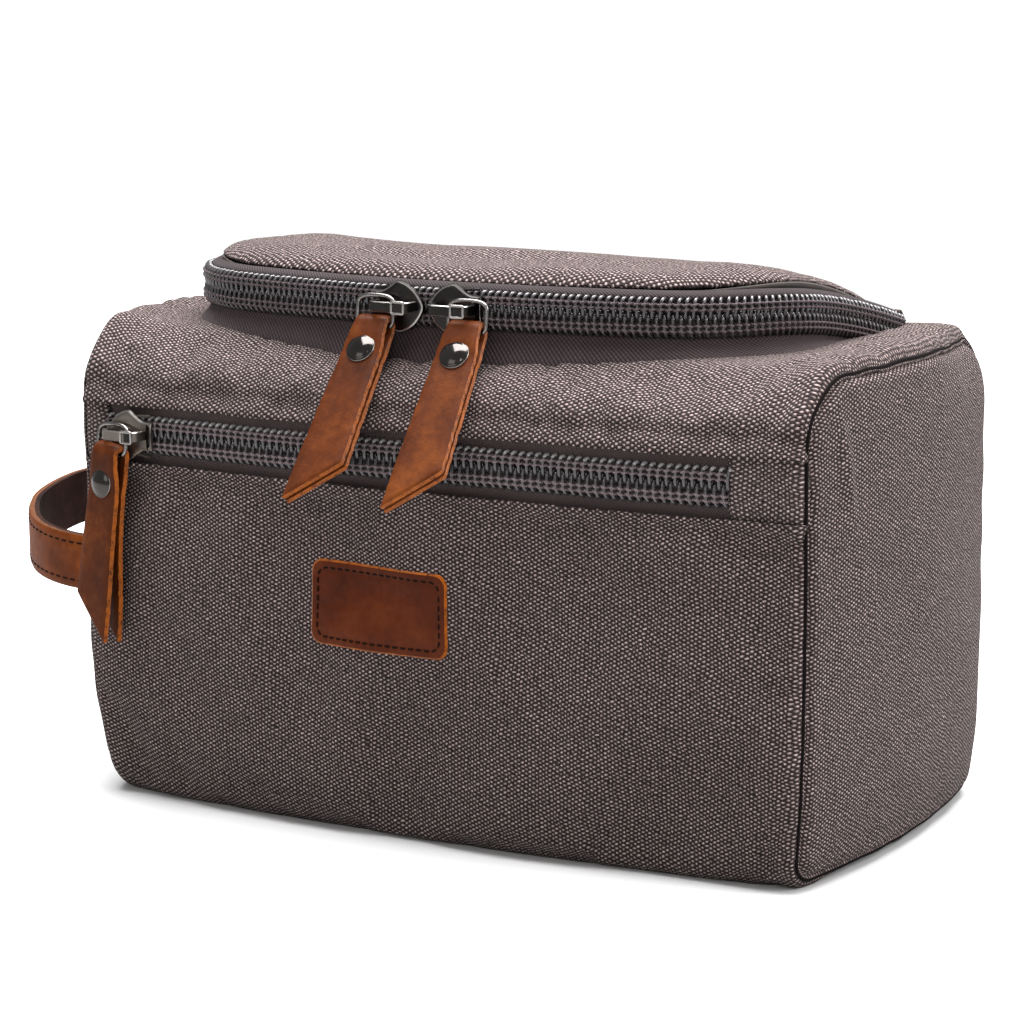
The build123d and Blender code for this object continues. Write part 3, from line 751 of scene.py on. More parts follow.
def end_cloth(side, word):
    """An end panel: bulged cloth that turns in at the seam all round."""
    nv = 264
    v = np.linspace(0, BREAKS[-1], nv, endpoint=False)
    rho = np.concatenate([np.linspace(0.02, 0.9, 26), [0.925, 0.945, 0.96, 0.972, 0.98, 0.987, 0.994, 1.0]])
    nr = len(rho)
    mid = np.array([0.0, 68.0])
    way = (np.stack(profile(np.full(nv, HL), v), -1) - mid)[:, None] * rho[:, None]
    yy, zz = np.moveaxis(mid + way, -1, 0)
    inner = 1 - rho ** 2
    gap = (1 - rho) * 64.0
    reach = end_reach(yy) - 0.9 * bell(gap, 0.9) + (1 - bell(gap, 1.3)) * (3.0 if side < 0 else 1.9) + inner * 0.8
    vv = v[:, None]
    reach += bell(gap, 9.0) * np.sin(vv / 4.3 + 1.7 * np.sin(vv / 15.0)) * 0.18 * (gap > 0.3)
    reach += noise(mid + way, 11 if side > 0 else 12, low=0.008, high=0.025) * 0.55 * inner
    reach += bell((yy + 47) * 0.95 + (zz - 118) * 0.16, 2.2) * bell(zz - 116, 15.0) * 1.5
    p = soften(np.stack([side * reach, yy, zz], -1))
    arc = np.cumsum(np.linalg.norm(np.diff(p, axis=1, prepend=p[:, :1]), axis=-1), axis=1)
    flat = np.linalg.norm(way, axis=-1)
    uv = (mid + way * ((arc + flat[:, :1]) / flat)[..., None]).reshape(-1, 2)
    faces = grid_faces(nv, nr, wrap_u=True, flip=side < 0)
    faces += [(i * nr, (i + 1) % nv * nr, nv * nr)[::-side] for i in range(nv)]
    verts = np.concatenate([p.reshape(-1, 3), p[:, 0].mean(0)[None]])
    piece = shell(Piece(), verts, faces, CLOTH, np.concatenate([uv, mid[None]]))
    names = (f"end_panel_{word}", f"wall_foam_{word}")
    piece.make(f"end_cloth_{word}", "bag", "canvas", [CANVAS], names)


def end_seam_shade(side, word):
    """A dark tube laid along the seam's valley between an end panel and the cloth around it: painted shade of the gap.
    """
    v = np.linspace(0, BREAKS[-1], 420, endpoint=False)
    line = tube(body(np.full(v.shape, side * HL), v, 1.35), 0.55, closed=True)
    Piece().add(*line).make(f"end_seam_shade_{word}", "bag", "canvas", [SEAM_PAINTED_SHADE])


def end_tab(side, word):
    """Canvas tab over the pocket zip's end, folded under along its inner edge."""
    x0, x1 = (-HL, tab_hi[0]) if side < 0 else (tab_r_lo[0], HL)
    v0, v1 = V_ZIP_LOW - 0.8, V_ZIP_HIGH + 0.8
    x, v = grid(np.linspace(x0, x1, 20), np.linspace(v0, v1, 16))
    fold = x1 - x if side < 0 else x - x0
    rise = 1.0 * np.sqrt(share(fold / 1.6)) - 1.0 - 0.9 * np.exp(-np.minimum(v - v0, v1 - v) / 1.3)
    rise += 0.6 * bell(fold - 3, 2.5)
    bow = (1 - ((v - (v0 + v1) / 2) / ((v1 - v0) / 2)) ** 2) * (1 - share(fold / 14))
    piece = sheet(body(x - side * bow, v, rise), 0.8)
    # Painted light: the tab takes the paler copy of the canvas
    piece.make(f"pocket_tab_{word}", "bag", "canvas", [CANVAS_TAB_PAINTED_LIGHT], (f"pocket_end_tab_{word}",))


# ---- zips
# one coil turn: along the zip, across it and out from the tape, with the filament's radius
TOOTH = [(1.15, 5.05, 0.35, 0.55), (0.95, 5.35, 0.95, 0.58), (0.55, 5.10, 1.75, 0.60), (0.22, 4.10, 2.25, 0.60),
         (0.05, 2.70, 2.35, 0.58), (0.0, 1.30, 2.30, 0.58), (0.0, 0.20, 2.05, 0.66), (0.0, -0.55, 1.35, 0.74),
         (0.0, -0.1, 0.55, 0.6), (0.0, 1.5, 0.3, 0.5)]
HIGHLIGHT_HEAD_FACES = 21                     # faces at a turn's outer end; on a zip's upper side they take the second material, a painted highlight


def coil_half(place, length, up, phase, pitch, wide):
    """Teeth and sewing for one side of a zip. place(s, o, z) gives a point along it."""
    teeth, sewing = Piece(), Piece()
    count = int(length / pitch + 0.5)
    start = (length - (count - 0.5) * pitch) / 2 + phase * pitch
    fine = smooth_path(TOOTH, 0.75)
    for i in range(count):
        q = fine[:, :3] + rng.normal(size=3) * 0.05
        path = place(start + i * pitch + q[:, 0], q[:, 2], up * q[:, 1])
        verts, faces = tube(path, fine[:, 3] * wide, 7)
        # Painted highlight: on the upper side the outer-end faces take the second, paler coil material
        teeth.add(verts, faces, [1 if up > 0 and j < HIGHLIGHT_HEAD_FACES else 0 for j in range(len(faces))])
    steps = np.arange(0.3, length - 0.3, pitch / 6)
    turn = (steps - start) / pitch * 2 * pi
    for w in (2.25, 3.75):
        sewing.add(*tube(place(steps, 2.1 + 0.8 * np.cos(turn), up * (w + 0.16 * np.sin(turn))), 0.37, 6))
    return teeth, sewing


def pocket_place(s, o, dz):
    """On the pocket zip: s from its left end, o outwards from the tape, dz from the chain's middle."""
    return body(ZIP_LEFT + s, FRONT_V + CHAIN_Z + dz, o - 0.75, seam=False)


def lid_place(s, o, dz):
    """On the lid zip, with s along the lid's outline."""
    s, o, dz = (np.array(a, float) for a in np.broadcast_arrays(s, o, dz))
    p = lid_path(s, o)
    z = LID_CHAIN + dz - sink(p[..., 0], p[..., 1]) * share((dz + 13.4) / 7)
    return np.concatenate([p, z[..., None]], -1)


def band_place(s, o, dz):
    """The band round the lid's opening, whose lower edge follows the yoke."""
    p = lid_place(s, o, dz)
    p[..., 2] += (2.3 - 5.2 * bell(p[..., 1] + 54, 9.0)) * share((-7.0 - dz) / 6.0)
    return p


def ribbon(name, on, slot, mat, place, length, rows, thick, end, replaces):
    """A strip along a zip: rows of (outwards, up) across it, cut off at a distance from each end."""
    rows = resample(rows, 0.8)
    s = np.linspace(end, length - end, int(length / 2.5) + 1)
    p = np.stack([place(s, np.full_like(s, o), np.full_like(s, z)) for o, z in rows], 1)
    piece = shell(Piece(), p, grid_faces(len(s), len(rows)), thick, flat_uv(s, run(rows)))
    piece.make(name, on, slot, [mat], (replaces,))


def zips():
    length = ZIP_RIGHT - ZIP_LEFT
    for word, up, phase, on in (("lower", -1, 0.0, "bag"), ("upper", 1, 0.5, "lid")):
        teeth, sewing = coil_half(pocket_place, length, up, phase, 2.5, 0.86)
        teeth.make(f"pocket_teeth_{word}", "bag", "zip_coil", [COIL_POCKET, POCKET_COIL_PAINTED_HIGHLIGHT], (f"pocket_coil_{word}",))
        sewing.make(f"pocket_sewing_{word}", "bag", "zip_tape", [SEWING_POCKET])
        rows = [(0.0, 0.55 * up), (0.0, 5.5 * up), (-0.1, 9.8 * up)]
        ribbon(f"pocket_tape_{word}", "bag", "zip_tape", TAPE, pocket_place, length, rows[::up], 0.6, -1.5,
               f"pocket_zip_tape_{word}")
        teeth, sewing = coil_half(lid_place, OUTLINE - 3.0, up, phase, 2.2, 0.84)
        teeth.make(f"lid_teeth_{word}", on, "zip_coil", [COIL, LID_COIL_PAINTED_HIGHLIGHT], (f"lid_coil_{word}",))
        sewing.make(f"lid_sewing_{word}", on, "zip_tape", [SEWING])
    ribbon("lid_tape_lower", "bag", "zip_tape", TAPE, lid_place, OUTLINE, [(0.0, -6.6), (0.0, -0.6)], 0.7, 1.8,
           "lid_zip_tape_lower")
    rows = [(5.6, -14.6), (4.5, -13.7), (3.4, -12.2), (2.3, -10.2), (1.45, -8.2), (1.05, -6.9), (1.15, -5.9),
            (0.3, -5.5)]
    ribbon("lid_band", "bag", "binding_twill", BAND, band_place, OUTLINE, rows, CLOTH, 1.4, "lid_gusset_band")
    rows = [(0.0, 0.6), (0.0, 4.7), (0.35, 5.2), (0.2, 5.9), (-0.9, 6.7), (-2.4, 7.2), (-5.2, 7.0)]
    ribbon("lid_tape_upper", "lid", "zip_tape", TAPE_TOP, lid_place, OUTLINE, rows, 0.7, 0.6, "lid_zip_tape_upper")


# ---- lid, hinge and lining
def ring_rows(rim, dist):
    """Rings of points from a rim towards the lid's middle."""
    return np.stack([LID_MID + (rim - LID_MID) * (1 - d / 48.0) for d in dist], 1)


def dished(verts, thick, flip):
    """A closed cloth through rings of points, with its middle filled in."""
    n, m = verts.shape[:2]
    faces = grid_faces(n, m, wrap_u=True, flip=flip)
    for i in range(n):
        a, b = (i * m + m - 1, (i + 1) % n * m + m - 1)[::-1 if flip else 1]
        faces.append((a, b, n * m))
    flat = np.concatenate([verts.reshape(-1, 3), verts[:, -1].mean(0)[None]])
    return shell(Piece(), flat, faces, thick, flat[:, :2])


def lid_cloth():
    """The lid's canvas, its lining, and the binding over the raw edge of tape and lining."""
    count = 300
    dist = np.array([0, 0.35, 0.8, 1.5, 2.6, 4.2, 6.5, 10, 15, 21, 28, 35, 42])
    p = ring_rows(lid_ring(3.8, count), dist)
    x, y = p[..., 0], p[..., 1]
    z = dome(y) - 0.9 * ((x - LID_CX) / 95.0) ** 4 + 1.1 * bell(dist - 7, 6.0) - 1.9 * np.exp(-dist / 1.3) + 0.15
    z += noise(np.stack([x * 0.55, y], -1), 21, low=0.012, high=0.035) * 0.6 * share(dist / 8)
    z += bell(y + 22 - 6 * np.sin((x + 40) / 38.0), 4.5) * bump((x + 92) / 60) * bump((60 - x) / 50) * 1.5
    ang = np.linspace(0, 2 * pi, count, endpoint=False)[:, None]
    z += bell(dist - 3, 4.0) * np.sin(ang * 61 + 2 * np.sin(ang * 9)) * 0.10 - sink(x, y)
    piece = dished(np.stack([x, y, z], -1), CLOTH, True)
    piece.make("lid_cloth", "lid", "canvas", [CANVAS], ("lid_panel",))
    dist = np.array([0, 1.0, 2.2, 4, 8, 14, 22, 32, 42])
    p = ring_rows(lid_ring(3.2, count), dist)
    z = dome(p[..., 1]) - 4.6 - 0.5 * np.sin(share(dist / 30) * pi) + 2.4 * np.exp(-dist / 1.1)
    z += noise(p * np.array([0.6, 1.0]), 31, low=0.01, high=0.04) * 0.25 - sink(p[..., 0], p[..., 1])
    piece = dished(np.concatenate([p, z[..., None]], -1), 0.5, False)
    piece.make("lid_inside", "lid", "lining", [LINING], ("lid_lining", "lid_foam"))
    s, around = np.linspace(1.0, OUTLINE - 1.0, 240), 10
    rings = []
    for a in np.linspace(0, 2 * pi, around, endpoint=False):
        q = lid_path(s, -1.6 + 0.9 * np.cos(a))
        rings.append(np.column_stack([q, 156.4 + 1.5 * np.sin(a) - sink(q[:, 0], q[:, 1])]))
    faces = grid_faces(len(s), around, wrap_v=True) + caps(len(s), around, flip=True)
    piece = Piece().add(np.stack(rings, 1), faces, 0, flat_uv(s, np.arange(around) * 0.8))
    piece.make("lid_edge_binding", "lid", "binding_twill", [BAND])


def hinge_cloth():
    """The canvas that joins the lid to the back edge, shaped as it lies with the lid shut."""
    rows = resample([(56.5, 139.6), (54.4, 140.9), (53.2, 142.6), (52.9, 146.0), (52.8, 150.0), (52.8, 154.0),
                     (52.6, 157.2), (51.6, 159.0), (49.6, 160.1), (48.3, 159.7), (47.5, 158.6), (47.2, 156.6)], 0.7)
    xs = np.linspace(LID_L - 1.8, LID_R + 4.6, 96)
    x, y = grid(xs, rows[:, 0])
    z = np.broadcast_to(rows[:, 1], x.shape)
    upper = share((z - 141) / 17.0)
    y = y + 0.25 * np.sin(x / 9.0) * np.sin(pi * upper)
    z = z - (0.9 * ((x - LID_CX) / 95.0) ** 4 + sink(x, y)) * upper
    piece = shell(Piece(), np.stack([x, y, z], -1), grid_faces(*x.shape), 0.8, flat_uv(xs, np.arange(len(rows)) * 0.7))
    o = piece.make("hinge_cloth", None, "canvas", [CANVAS], ("hinge_panel_lower", "hinge_panel_upper"))
    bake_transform(o)


def lining():
    """The compartment's lining: floor, walls, a rolled shoulder and the neck inside the band."""
    n, bulge, r = 260, 6.0, 6.0
    x1, y0, y1 = 112.6, node_box("body_lining")[0][1] + 0.5, 55.6
    t = np.linspace(0, 1, 80)[:, None]
    sides = []
    for a, b, out in (((r - x1, y0), (x1 - r, y0), 0), ((x1, y0 + r), (x1, y1 - r), 1),
                      ((x1 - r, y1), (r - x1, y1), 0), ((-x1, y1 - r), (-x1, y0 + r), -1)):
        q = np.array(a) * (1 - t) + np.array(b) * t
        q[:, :1] += out * bulge * (1 - (2 * t - 1) ** 2)
        sides.append(q)
    wide, neck = by_angle(np.concatenate(sides), n), lid_ring(1.2, n)
    level = lambda p, z: np.column_stack([p, np.full(n, z)])
    drawn = lambda k: LID_MID + (wide - LID_MID) * k
    floor_edge = 0.985
    rings = [level(drawn(k * floor_edge), 5.5) for k in (0.15, 0.35, 0.55, 0.75, 0.9)]
    rings += [level(drawn(k), z) for z, k in (
        (5.6, floor_edge), (6.6, 0.995), (9, 1), (20, 1), (35, 1), (50, 1), (65, 1), (80, 1), (95, 1), (108, 1),
        (118, 1), (125, 0.995))]
    low = rings[-1][:, :2]
    rings += [level(low * (1 - k) + neck * k, z) for k, z in (
        (0.15, 130.0), (0.35, 133.6), (0.6, 136.0), (0.85, 137.4), (1, 138.6), (1, 141.5), (1, 145.0), (1, 149.0))]
    p = np.stack(rings, 1)
    p[..., 2] -= sink(p[..., 0], p[..., 1]) * share((p[..., 2] - 138.6) / 8)
    sag = np.abs(noise(p, 41, low=0.01, high=0.03) * 0.8) * ((p[..., 2] > 8) & (p[..., 2] < 128))
    p[..., :2] += unit(LID_MID - p[..., :2]) * sag[..., None]
    uv = np.stack(grid(run(wide), mean_run(p, 1)), -1)
    uv[:, :6] = p[:, :6, :2]
    m = p.shape[1]
    faces = grid_faces(n, m, wrap_u=True, flip=True) + [(i * m, (i + 1) % n * m, n * m) for i in range(n)]
    flat = np.concatenate([p.reshape(-1, 3), [[*LID_MID, 5.5]]])
    piece = shell(Piece(), flat, faces, 0.5, np.concatenate([uv.reshape(-1, 2), LID_MID[None]]))
    piece.make("compartment_lining", "bag", "lining", [LINING], ("body_lining", "base_board"))


def pouch():
    """The pocket's lining behind the front cloth."""
    x, v = grid(np.linspace(-109, 109, 60), np.linspace(BREAKS[2] + 8, V_ZIP_LOW - 2, 30))
    front = body(x, v, -1.5, seam=False)
    back = front.copy()
    back[..., 1] = np.maximum(front[..., 1] + 3.0, -55.4)
    piece = Piece()
    for p in (front, back):
        shell(piece, p, grid_faces(*x.shape, flip=True), 0.4, np.stack([x, v], -1).reshape(-1, 2))
    piece.make("pocket_lining", "bag", "lining", [LINING], ("pocket_pouch",))


# ---- hardware
def joint(name):
    return next(j for j in frame["record"]["behaviour"]["joints"] if j["name"] == name)


def turned(points, origin, yaw):
    c, s = cos(yaw), sin(yaw)
    p = np.asarray(points, float).reshape(-1, 3)
    return np.stack([p[:, 0] * c - p[:, 1] * s, p[:, 0] * s + p[:, 1] * c, p[:, 2]], 1) + origin


def slider_place(name):
    """Maps slider coordinates to the bag: origin on the coils' outer face, X along the zip, Y inwards."""
    ring = np.array(joint(f"{name}_ring_swing")["pos_m"]) / MM
    centre = np.array(joint(f"{name}_slider_track")["pos_m"]) / MM
    out = unit((ring - centre)[:2])
    to_coils = 4.1
    origin = np.array([*(ring[:2] - out * to_coils), centre[2]])
    return lambda p: turned(p, origin, atan2(out[0], -out[1]))


def swung_place(name, part, tilt, slant=0.0):
    """Maps a ring's or a pull's coordinates, with its pivot at the origin, to the bag."""
    swing = joint(f"{name}_{part}_swing")
    a, b = radians(-tilt), radians(slant)
    rot = np.array([[1, 0, 0], [0, cos(a), -sin(a)], [0, sin(a), cos(a)]])
    rot = rot @ np.array([[cos(b), 0, -sin(b)], [0, 1, 0], [sin(b), 0, cos(b)]])
    yaw = atan2(-swing["axis"][1], -swing["axis"][0])
    return lambda p: turned(np.asarray(p, float).reshape(-1, 3) @ rot.T, np.array(swing["pos_m"]) / MM, yaw)


def slab(outline, layers):
    """A plate in the XZ plane from a closed outline and (inset, y) layers: verts, faces and each face's layer."""
    o = np.asarray(outline, float)
    t = np.roll(o, -1, 0) - np.roll(o, 1, 0)
    way = 1 if np.sum(o[:, 0] * np.roll(o[:, 1], -1) - np.roll(o[:, 0], -1) * o[:, 1]) > 0 else -1
    n = unit(np.stack([t[:, 1], -t[:, 0]], 1)) * way
    k = len(o)
    verts = [np.insert(o - n * inset, 1, y, axis=1) for inset, y in layers]
    faces, layer = [], []
    for i in range(len(layers) - 1):
        for j in range(k):
            a, b = i * k + j, i * k + (j + 1) % k
            faces.append((a, b, b + k, a + k)[::way])
            layer.append(i)
    return np.concatenate(verts), faces + caps(len(layers), k, flip=way > 0), layer + [-1, -1]


def crown_outline(tail):
    pts = np.array([(-8.6, 4.2), (-7.0, 4.3), (-5.2, 4.5), (-3.6, 5.2), (-2.0, 6.2), (-0.6, 7.2), (0.3, 7.45),
                    (1.6, 7.2), (3.8, 6.3), (5.9, 4.7), (7.6, 2.5), (8.4, 0.9), (8.6, 0.0)])
    side = smooth_path(np.concatenate([pts, (pts * [1, -1])[::-1][1:]]), 0.45)
    left = np.linspace(side[-1], side[0], 12)[1:-1]
    left[:, 0] += 0.5 * np.sin(np.linspace(0, pi, 12)[1:-1])
    return np.concatenate([side, left]) * [-tail, 1]


def bar(path, width, thick, soft=0.28):
    """A flat strip bent along (x, y) points, its width along Z, with soft edges of the second material."""
    path = np.asarray(path, float)
    t = unit(np.gradient(path, axis=0))
    n = np.stack([-t[:, 1], t[:, 0]], 1)
    h, w, b = thick / 2, width / 2, soft
    loop = [(-h, -w + b), (-h, w - b), (-h + b, w), (h - b, w), (h, w - b), (h, -w + b), (h - b, -w), (-h + b, -w)]
    verts = np.stack([np.column_stack([path + n * a, np.full(len(path), z)]) for a, z in loop], 1)
    faces = grid_faces(len(path), len(loop), wrap_v=True)
    return verts.reshape(-1, 3), faces + caps(len(path), len(loop)), [i % 2 for i in range(len(faces))] + [0, 0]


def slider(name, tail, metal_mat):
    """The slider casting and its lock cap; tail is -1 when the slider's tail points left, 1 when right."""
    place = slider_place(name)
    piece = Piece()

    def add(shape, mat=0):
        piece.add(place(shape[0]), shape[1], mat)

    verts, faces, layer = slab(crown_outline(tail), [(1.6, -1.72), (0.55, -1.66), (0.12, -1.42), (0.0, -1.12),
                                                     (0.0, -0.5), (0.25, -0.25)])
    # Painted highlight: the plate's bevel takes the pale metal
    add((verts, faces), [1 if i == 1 else 0 for i in layer])
    a, b = sorted((7.6 * tail, -4.5 * tail))
    for up in (-1, 1):              # flanges that close over the coils above and below the plate
        lip = [(a, -0.9, up * 5.0), (a + 2, -0.7, up * 5.2), (b - 2, -0.7, up * 6.0), (b, -0.9, up * 6.0)]
        add(tube(smooth_path(lip, 0.6), 0.42))
    rise = -7.2                     # top of the bridge
    arch = smooth_path([(-6.1, -1.3), (-6.25, -3.4), (-6.0, -5.6), (-5.0, rise + 0.35), (-3.4, rise), (0, rise - 0.1),
                        (3.4, rise), (5.0, rise + 0.35), (6.0, -5.6), (6.25, -3.4), (6.1, -1.3)], 0.35)
    verts, faces, edges = bar(arch, 3.1, 1.0)
    # Painted highlight: the bridge's soft edges take the pale metal
    add((verts + [0, 0, BRIDGE_Z], faces), edges)
    add(slab([(-1.4, -0.26), (3.4, -0.26), (3.4, 0.26), (-1.4, 0.26)], [(0, -0.5), (0, 3.9)]))
    power = lambda c: np.sign(c) * abs(c) ** 0.6
    back_plate = [(8.0 * power(np.cos(a)), 4.9 * power(np.sin(a))) for a in np.linspace(0, 2 * pi, 40, endpoint=False)]
    add(slab(back_plate, [(0.4, 3.8), (0, 4.05), (0, 4.7), (0.4, 4.95)]))
    piece.make(f"{name}_slider_body", f"{name}_slider", "slider_metal", [metal_mat, METAL_EDGE_HIGHLIGHT], (f"{name}_slider",),
               sharp=38)
    piece = Piece()
    y = rise - 0.62
    frame_line = [(2.0, y, 2.0), (6.0, y, 2.0), (6.0, y, -1.25), (2.0, y, -1.25), (2.0, y, 2.0)]
    # Painted highlight: the lock's frame is the pale metal, its plate the darker one
    add(tube(resample(frame_line, 0.5)[:-1], 0.42, closed=True))
    add(slab([(2.2, -1.1), (5.8, -1.1), (5.8, 1.85), (2.2, 1.85)], [(0, y + 0.1), (0, y + 0.3)]), 1)
    piece.make(f"{name}_lock", f"{name}_slider", "slider_metal", [METAL_EDGE_HIGHLIGHT, GUN], (f"{name}_lock_cap",), sharp=50)


BRIDGE_Z = 0.4                      # the bridge's middle above the chain's
# each ring's shift along the zip and its tilt at rest, and the pull's tilt and slant
HANGING = {"lid_left": (-5.6, 7.0, 38.0, 0.0), "lid_right": (5.6, 7.0, 38.0, 0.0), "pocket": (-4.4, 12.0, 5.0, -5.0)}


def wire_ring(name):
    off, tilt = HANGING[name][:2]
    top, low, half = 3.2 - BRIDGE_Z, -5.6 - BRIDGE_Z, 6.0
    pts = [(-half, low + 1.8), (-half, 0.4), (-half + 0.5, 1.6), (-half * 0.6, top - 0.25), (0, top),
           (half * 0.6, top - 0.25), (half - 0.5, 1.6), (half, 0.4), (half, low + 1.8), (half - 0.5, low + 0.5),
           (half - 1.9, low), (-half + 1.9, low), (-half + 0.5, low + 0.5), (-half, low + 1.8)]
    loop = smooth_path(pts, 0.5)[:-1] + [off, 0]
    verts, faces = tube(np.insert(loop, 1, 0, axis=1), 0.66, 10, closed=True)
    piece = Piece().add(swung_place(name, "ring", tilt)(verts), faces)
    piece.make(f"{name}_wire_ring", f"{name}_ring", "ring_metal", [WIRE], (f"{name}_ring",))


def leather_pull(name, lengths, spread):
    """One strip folded over the ring's lower bar: two leaves that part towards their slanted ends."""
    thick, mid_r, nu = 2.15, 1.15 + 2.15 / 2, 13
    us, w = np.linspace(0, 1, nu), np.linspace(0, 1, 62)
    fold = [(mid_r * sin(a), mid_r * cos(a)) for a in np.linspace(0.55 * pi, -0.55 * pi, 17)]
    rows = []
    for u in us:
        length = lengths[0] * (1 - u) + lengths[1] * u
        z = -2.4 - w * (length - 2.4)
        close = bump((w * length) / 9.0)
        start = (mid_r - 0.1) * (1 - close)
        y_back = (1.12 + spread * bump((w - 0.25) / 0.75) + 0.25 * np.sin(w * 5.0 + 0.6)) * close + start
        y_front = -(1.12 + 0.12 * np.sin(w * 4.0)) * close - start
        rows.append(list(zip(y_back[::-1], z[::-1])) + fold + list(zip(y_front, z)))
    rows = np.array(rows)
    m = rows.shape[1]
    half = np.interp(rows[..., 1], [-60, -46, -7, -3.0, 2.5], [7.5, 7.4, 6.1, 5.4, 4.9])
    surf = np.stack([(us[:, None] * 2 - 1) * half, rows[..., 0], rows[..., 1]], -1)
    normal = unit(np.cross(np.gradient(surf, axis=0), np.gradient(surf, axis=1)))
    edge = np.minimum(us, 1 - us)[:, None] * 13.0
    along = np.minimum(np.arange(m), m - 1 - np.arange(m)) * 0.9
    h = thick / 2 * (0.70 + 0.30 * np.sqrt(share(np.minimum(edge, along) / 0.8)))
    fuzz = noise(surf, 51, waves=9, low=0.25, high=0.6) * 0.12 * (edge < 0.5)
    leaves = [surf + normal * h[..., None], surf - normal * h[..., None]]
    for leaf in leaves:
        leaf[..., 0] += fuzz
    n = nu * m
    quads = grid_faces(nu, m)
    faces = quads + [tuple(i + n for i in f[::-1]) for f in quads]
    mats = [0] * len(faces)
    k = (nu - 1) * m
    for i in range(m - 1):
        faces += [(i + 1, i, i + n, i + 1 + n), (k + i, k + i + 1, k + i + 1 + n, k + i + n)]
    for i in range(0, k, m):
        j = i + m - 1
        faces += [(i, i + m, i + m + n, i + n), (j + m, j, j + n, j + m + n)]
    mats += [1] * (len(faces) - len(mats))
    piece = Piece().add(swung_place(name, "pull", *HANGING[name][2:])(leaves), faces, mats)
    piece.make(f"{name}_leather_pull", f"{name}_pull", "leather", [LEATHER, EDGE], (f"{name}_pull",), sharp=60)


def lathe(points, n=48):
    """Turns (radius, y) points about the Y axis."""
    a = np.arange(n) * 2 * pi / n
    verts = np.concatenate([np.stack([r * np.cos(a), np.full(n, y), r * np.sin(a)], 1) for r, y in points])
    return verts, grid_faces(len(points), n, wrap_v=True) + caps(len(points), n, flip=True)


def rivet(name):
    place = swung_place(name, "pull", *HANGING[name][2:])
    y = -2.28                       # the front leaf's face
    front = [(4.0, y + 0.15), (4.42, y), (4.5, y - 0.25), (4.42, y - 0.5), (4.1, y - 0.62), (3.95, y - 0.6),
             (3.6, y - 0.86), (3.0, y - 1.14), (2.2, y - 1.4), (1.3, y - 1.56), (0.5, y - 1.63), (0.05, y - 1.64)]
    back = [(0.05, 2.85), (2.4, 2.8), (3.1, 2.6), (3.2, 2.35), (3.0, 2.2)]
    piece = Piece()
    # Painted highlight: the front cap's outer rim faces take the pale metal
    for points, n, bright in ((front, 48, 144), ([(1.5, -2.2), (1.5, 2.2)], 24, 0), (back, 36, 0)):
        verts, faces = lathe(points, n)
        piece.add(place(verts + [0, 0, -8.8]), faces, [1 if i < bright else 0 for i in range(len(faces))])
    piece.make(f"{name}_rivet_caps", f"{name}_pull", "rivet_metal", [CHROME, METAL_EDGE_HIGHLIGHT], (f"{name}_rivet",), sharp=70)


# ---- leather on the body
def stitches(piece, path, normal, length=2.6, gap=0.9):
    """Separate stitches along a path, each a short bowed thread."""
    s = run(path)
    at = 0.4
    while at + length < s[-1]:
        t = at + np.linspace(0, 1, 6) * length
        c, n = (np.stack([np.interp(t, s, a[:, i]) for i in range(3)], 1) for a in (path, normal))
        lift = np.array([-0.37, 0.0, 0.10, 0.10, 0.0, -0.37])[:, None]
        piece.add(*tube(c + n * lift, 0.30, 6))
        at += length + gap


def label():
    size = (label_hi - label_lo)[[0, 2]]
    mid = (label_hi + label_lo)[[0, 2]] / 2
    corner, face, groove = 3.5, 1.72, 3.2
    pts = [tuple(q * (size / 2 - corner) + corner * np.array([cos(a), sin(a)]))
           for q, a0 in (((1, 1), 0), ((-1, 1), 90), ((-1, -1), 180), ((1, -1), 270))
           for a in np.radians(np.linspace(a0, a0 + 90, 10))]
    base = resample(pts + pts[:1], 1.1)[:-1]
    k = len(base)
    inset = lambda d: base * ((size / 2 - d) / (size / 2))
    on = lambda q, out: body(mid[0] + q[:, 0], FRONT_V + (mid[1] + q[:, 1]), out, seam=False)
    rings = [on(inset(d), out) for d, out in ((0.0, 0.05), (-0.02, 0.6), (0.0, 1.2), (0.5, 1.64), (0.95, face),
                                              (2.0, 1.70), (2.6, 1.52), (groove, 1.70))]
    for f in (0.8, 0.6, 0.4, 0.2):
        q = inset(groove) * f
        rings.append(on(q, face + 0.05 * noise(q, 61, low=0.02, high=0.1)))
    p = np.stack(rings, 1)
    m = p.shape[1]
    faces = grid_faces(k, m, wrap_u=True)
    mats = [1 if i % (m - 1) < 3 else 0 for i in range(len(faces))] + [0] * (k + 1)
    faces += [(i * m + m - 1, (i + 1) % k * m + m - 1, k * m) for i in range(k)]
    faces.append(tuple(i * m for i in range(k))[::-1])
    verts = np.concatenate([p.reshape(-1, 3), on(np.zeros((1, 2)), face)])
    piece = Piece().add(verts, faces, mats)
    piece.make("label_leather", "bag", "leather", [LEATHER_LABEL, EDGE], ("leather_label",), sharp=50)
    sew = Piece()
    q = inset(2.3)
    q = np.concatenate([q, q[:1]])
    stitches(sew, on(q, 1.62), on(q, 2.62) - on(q, 1.62), length=1.9, gap=0.7)
    sew.make("label_stitching", "bag", "leather", [STITCH])


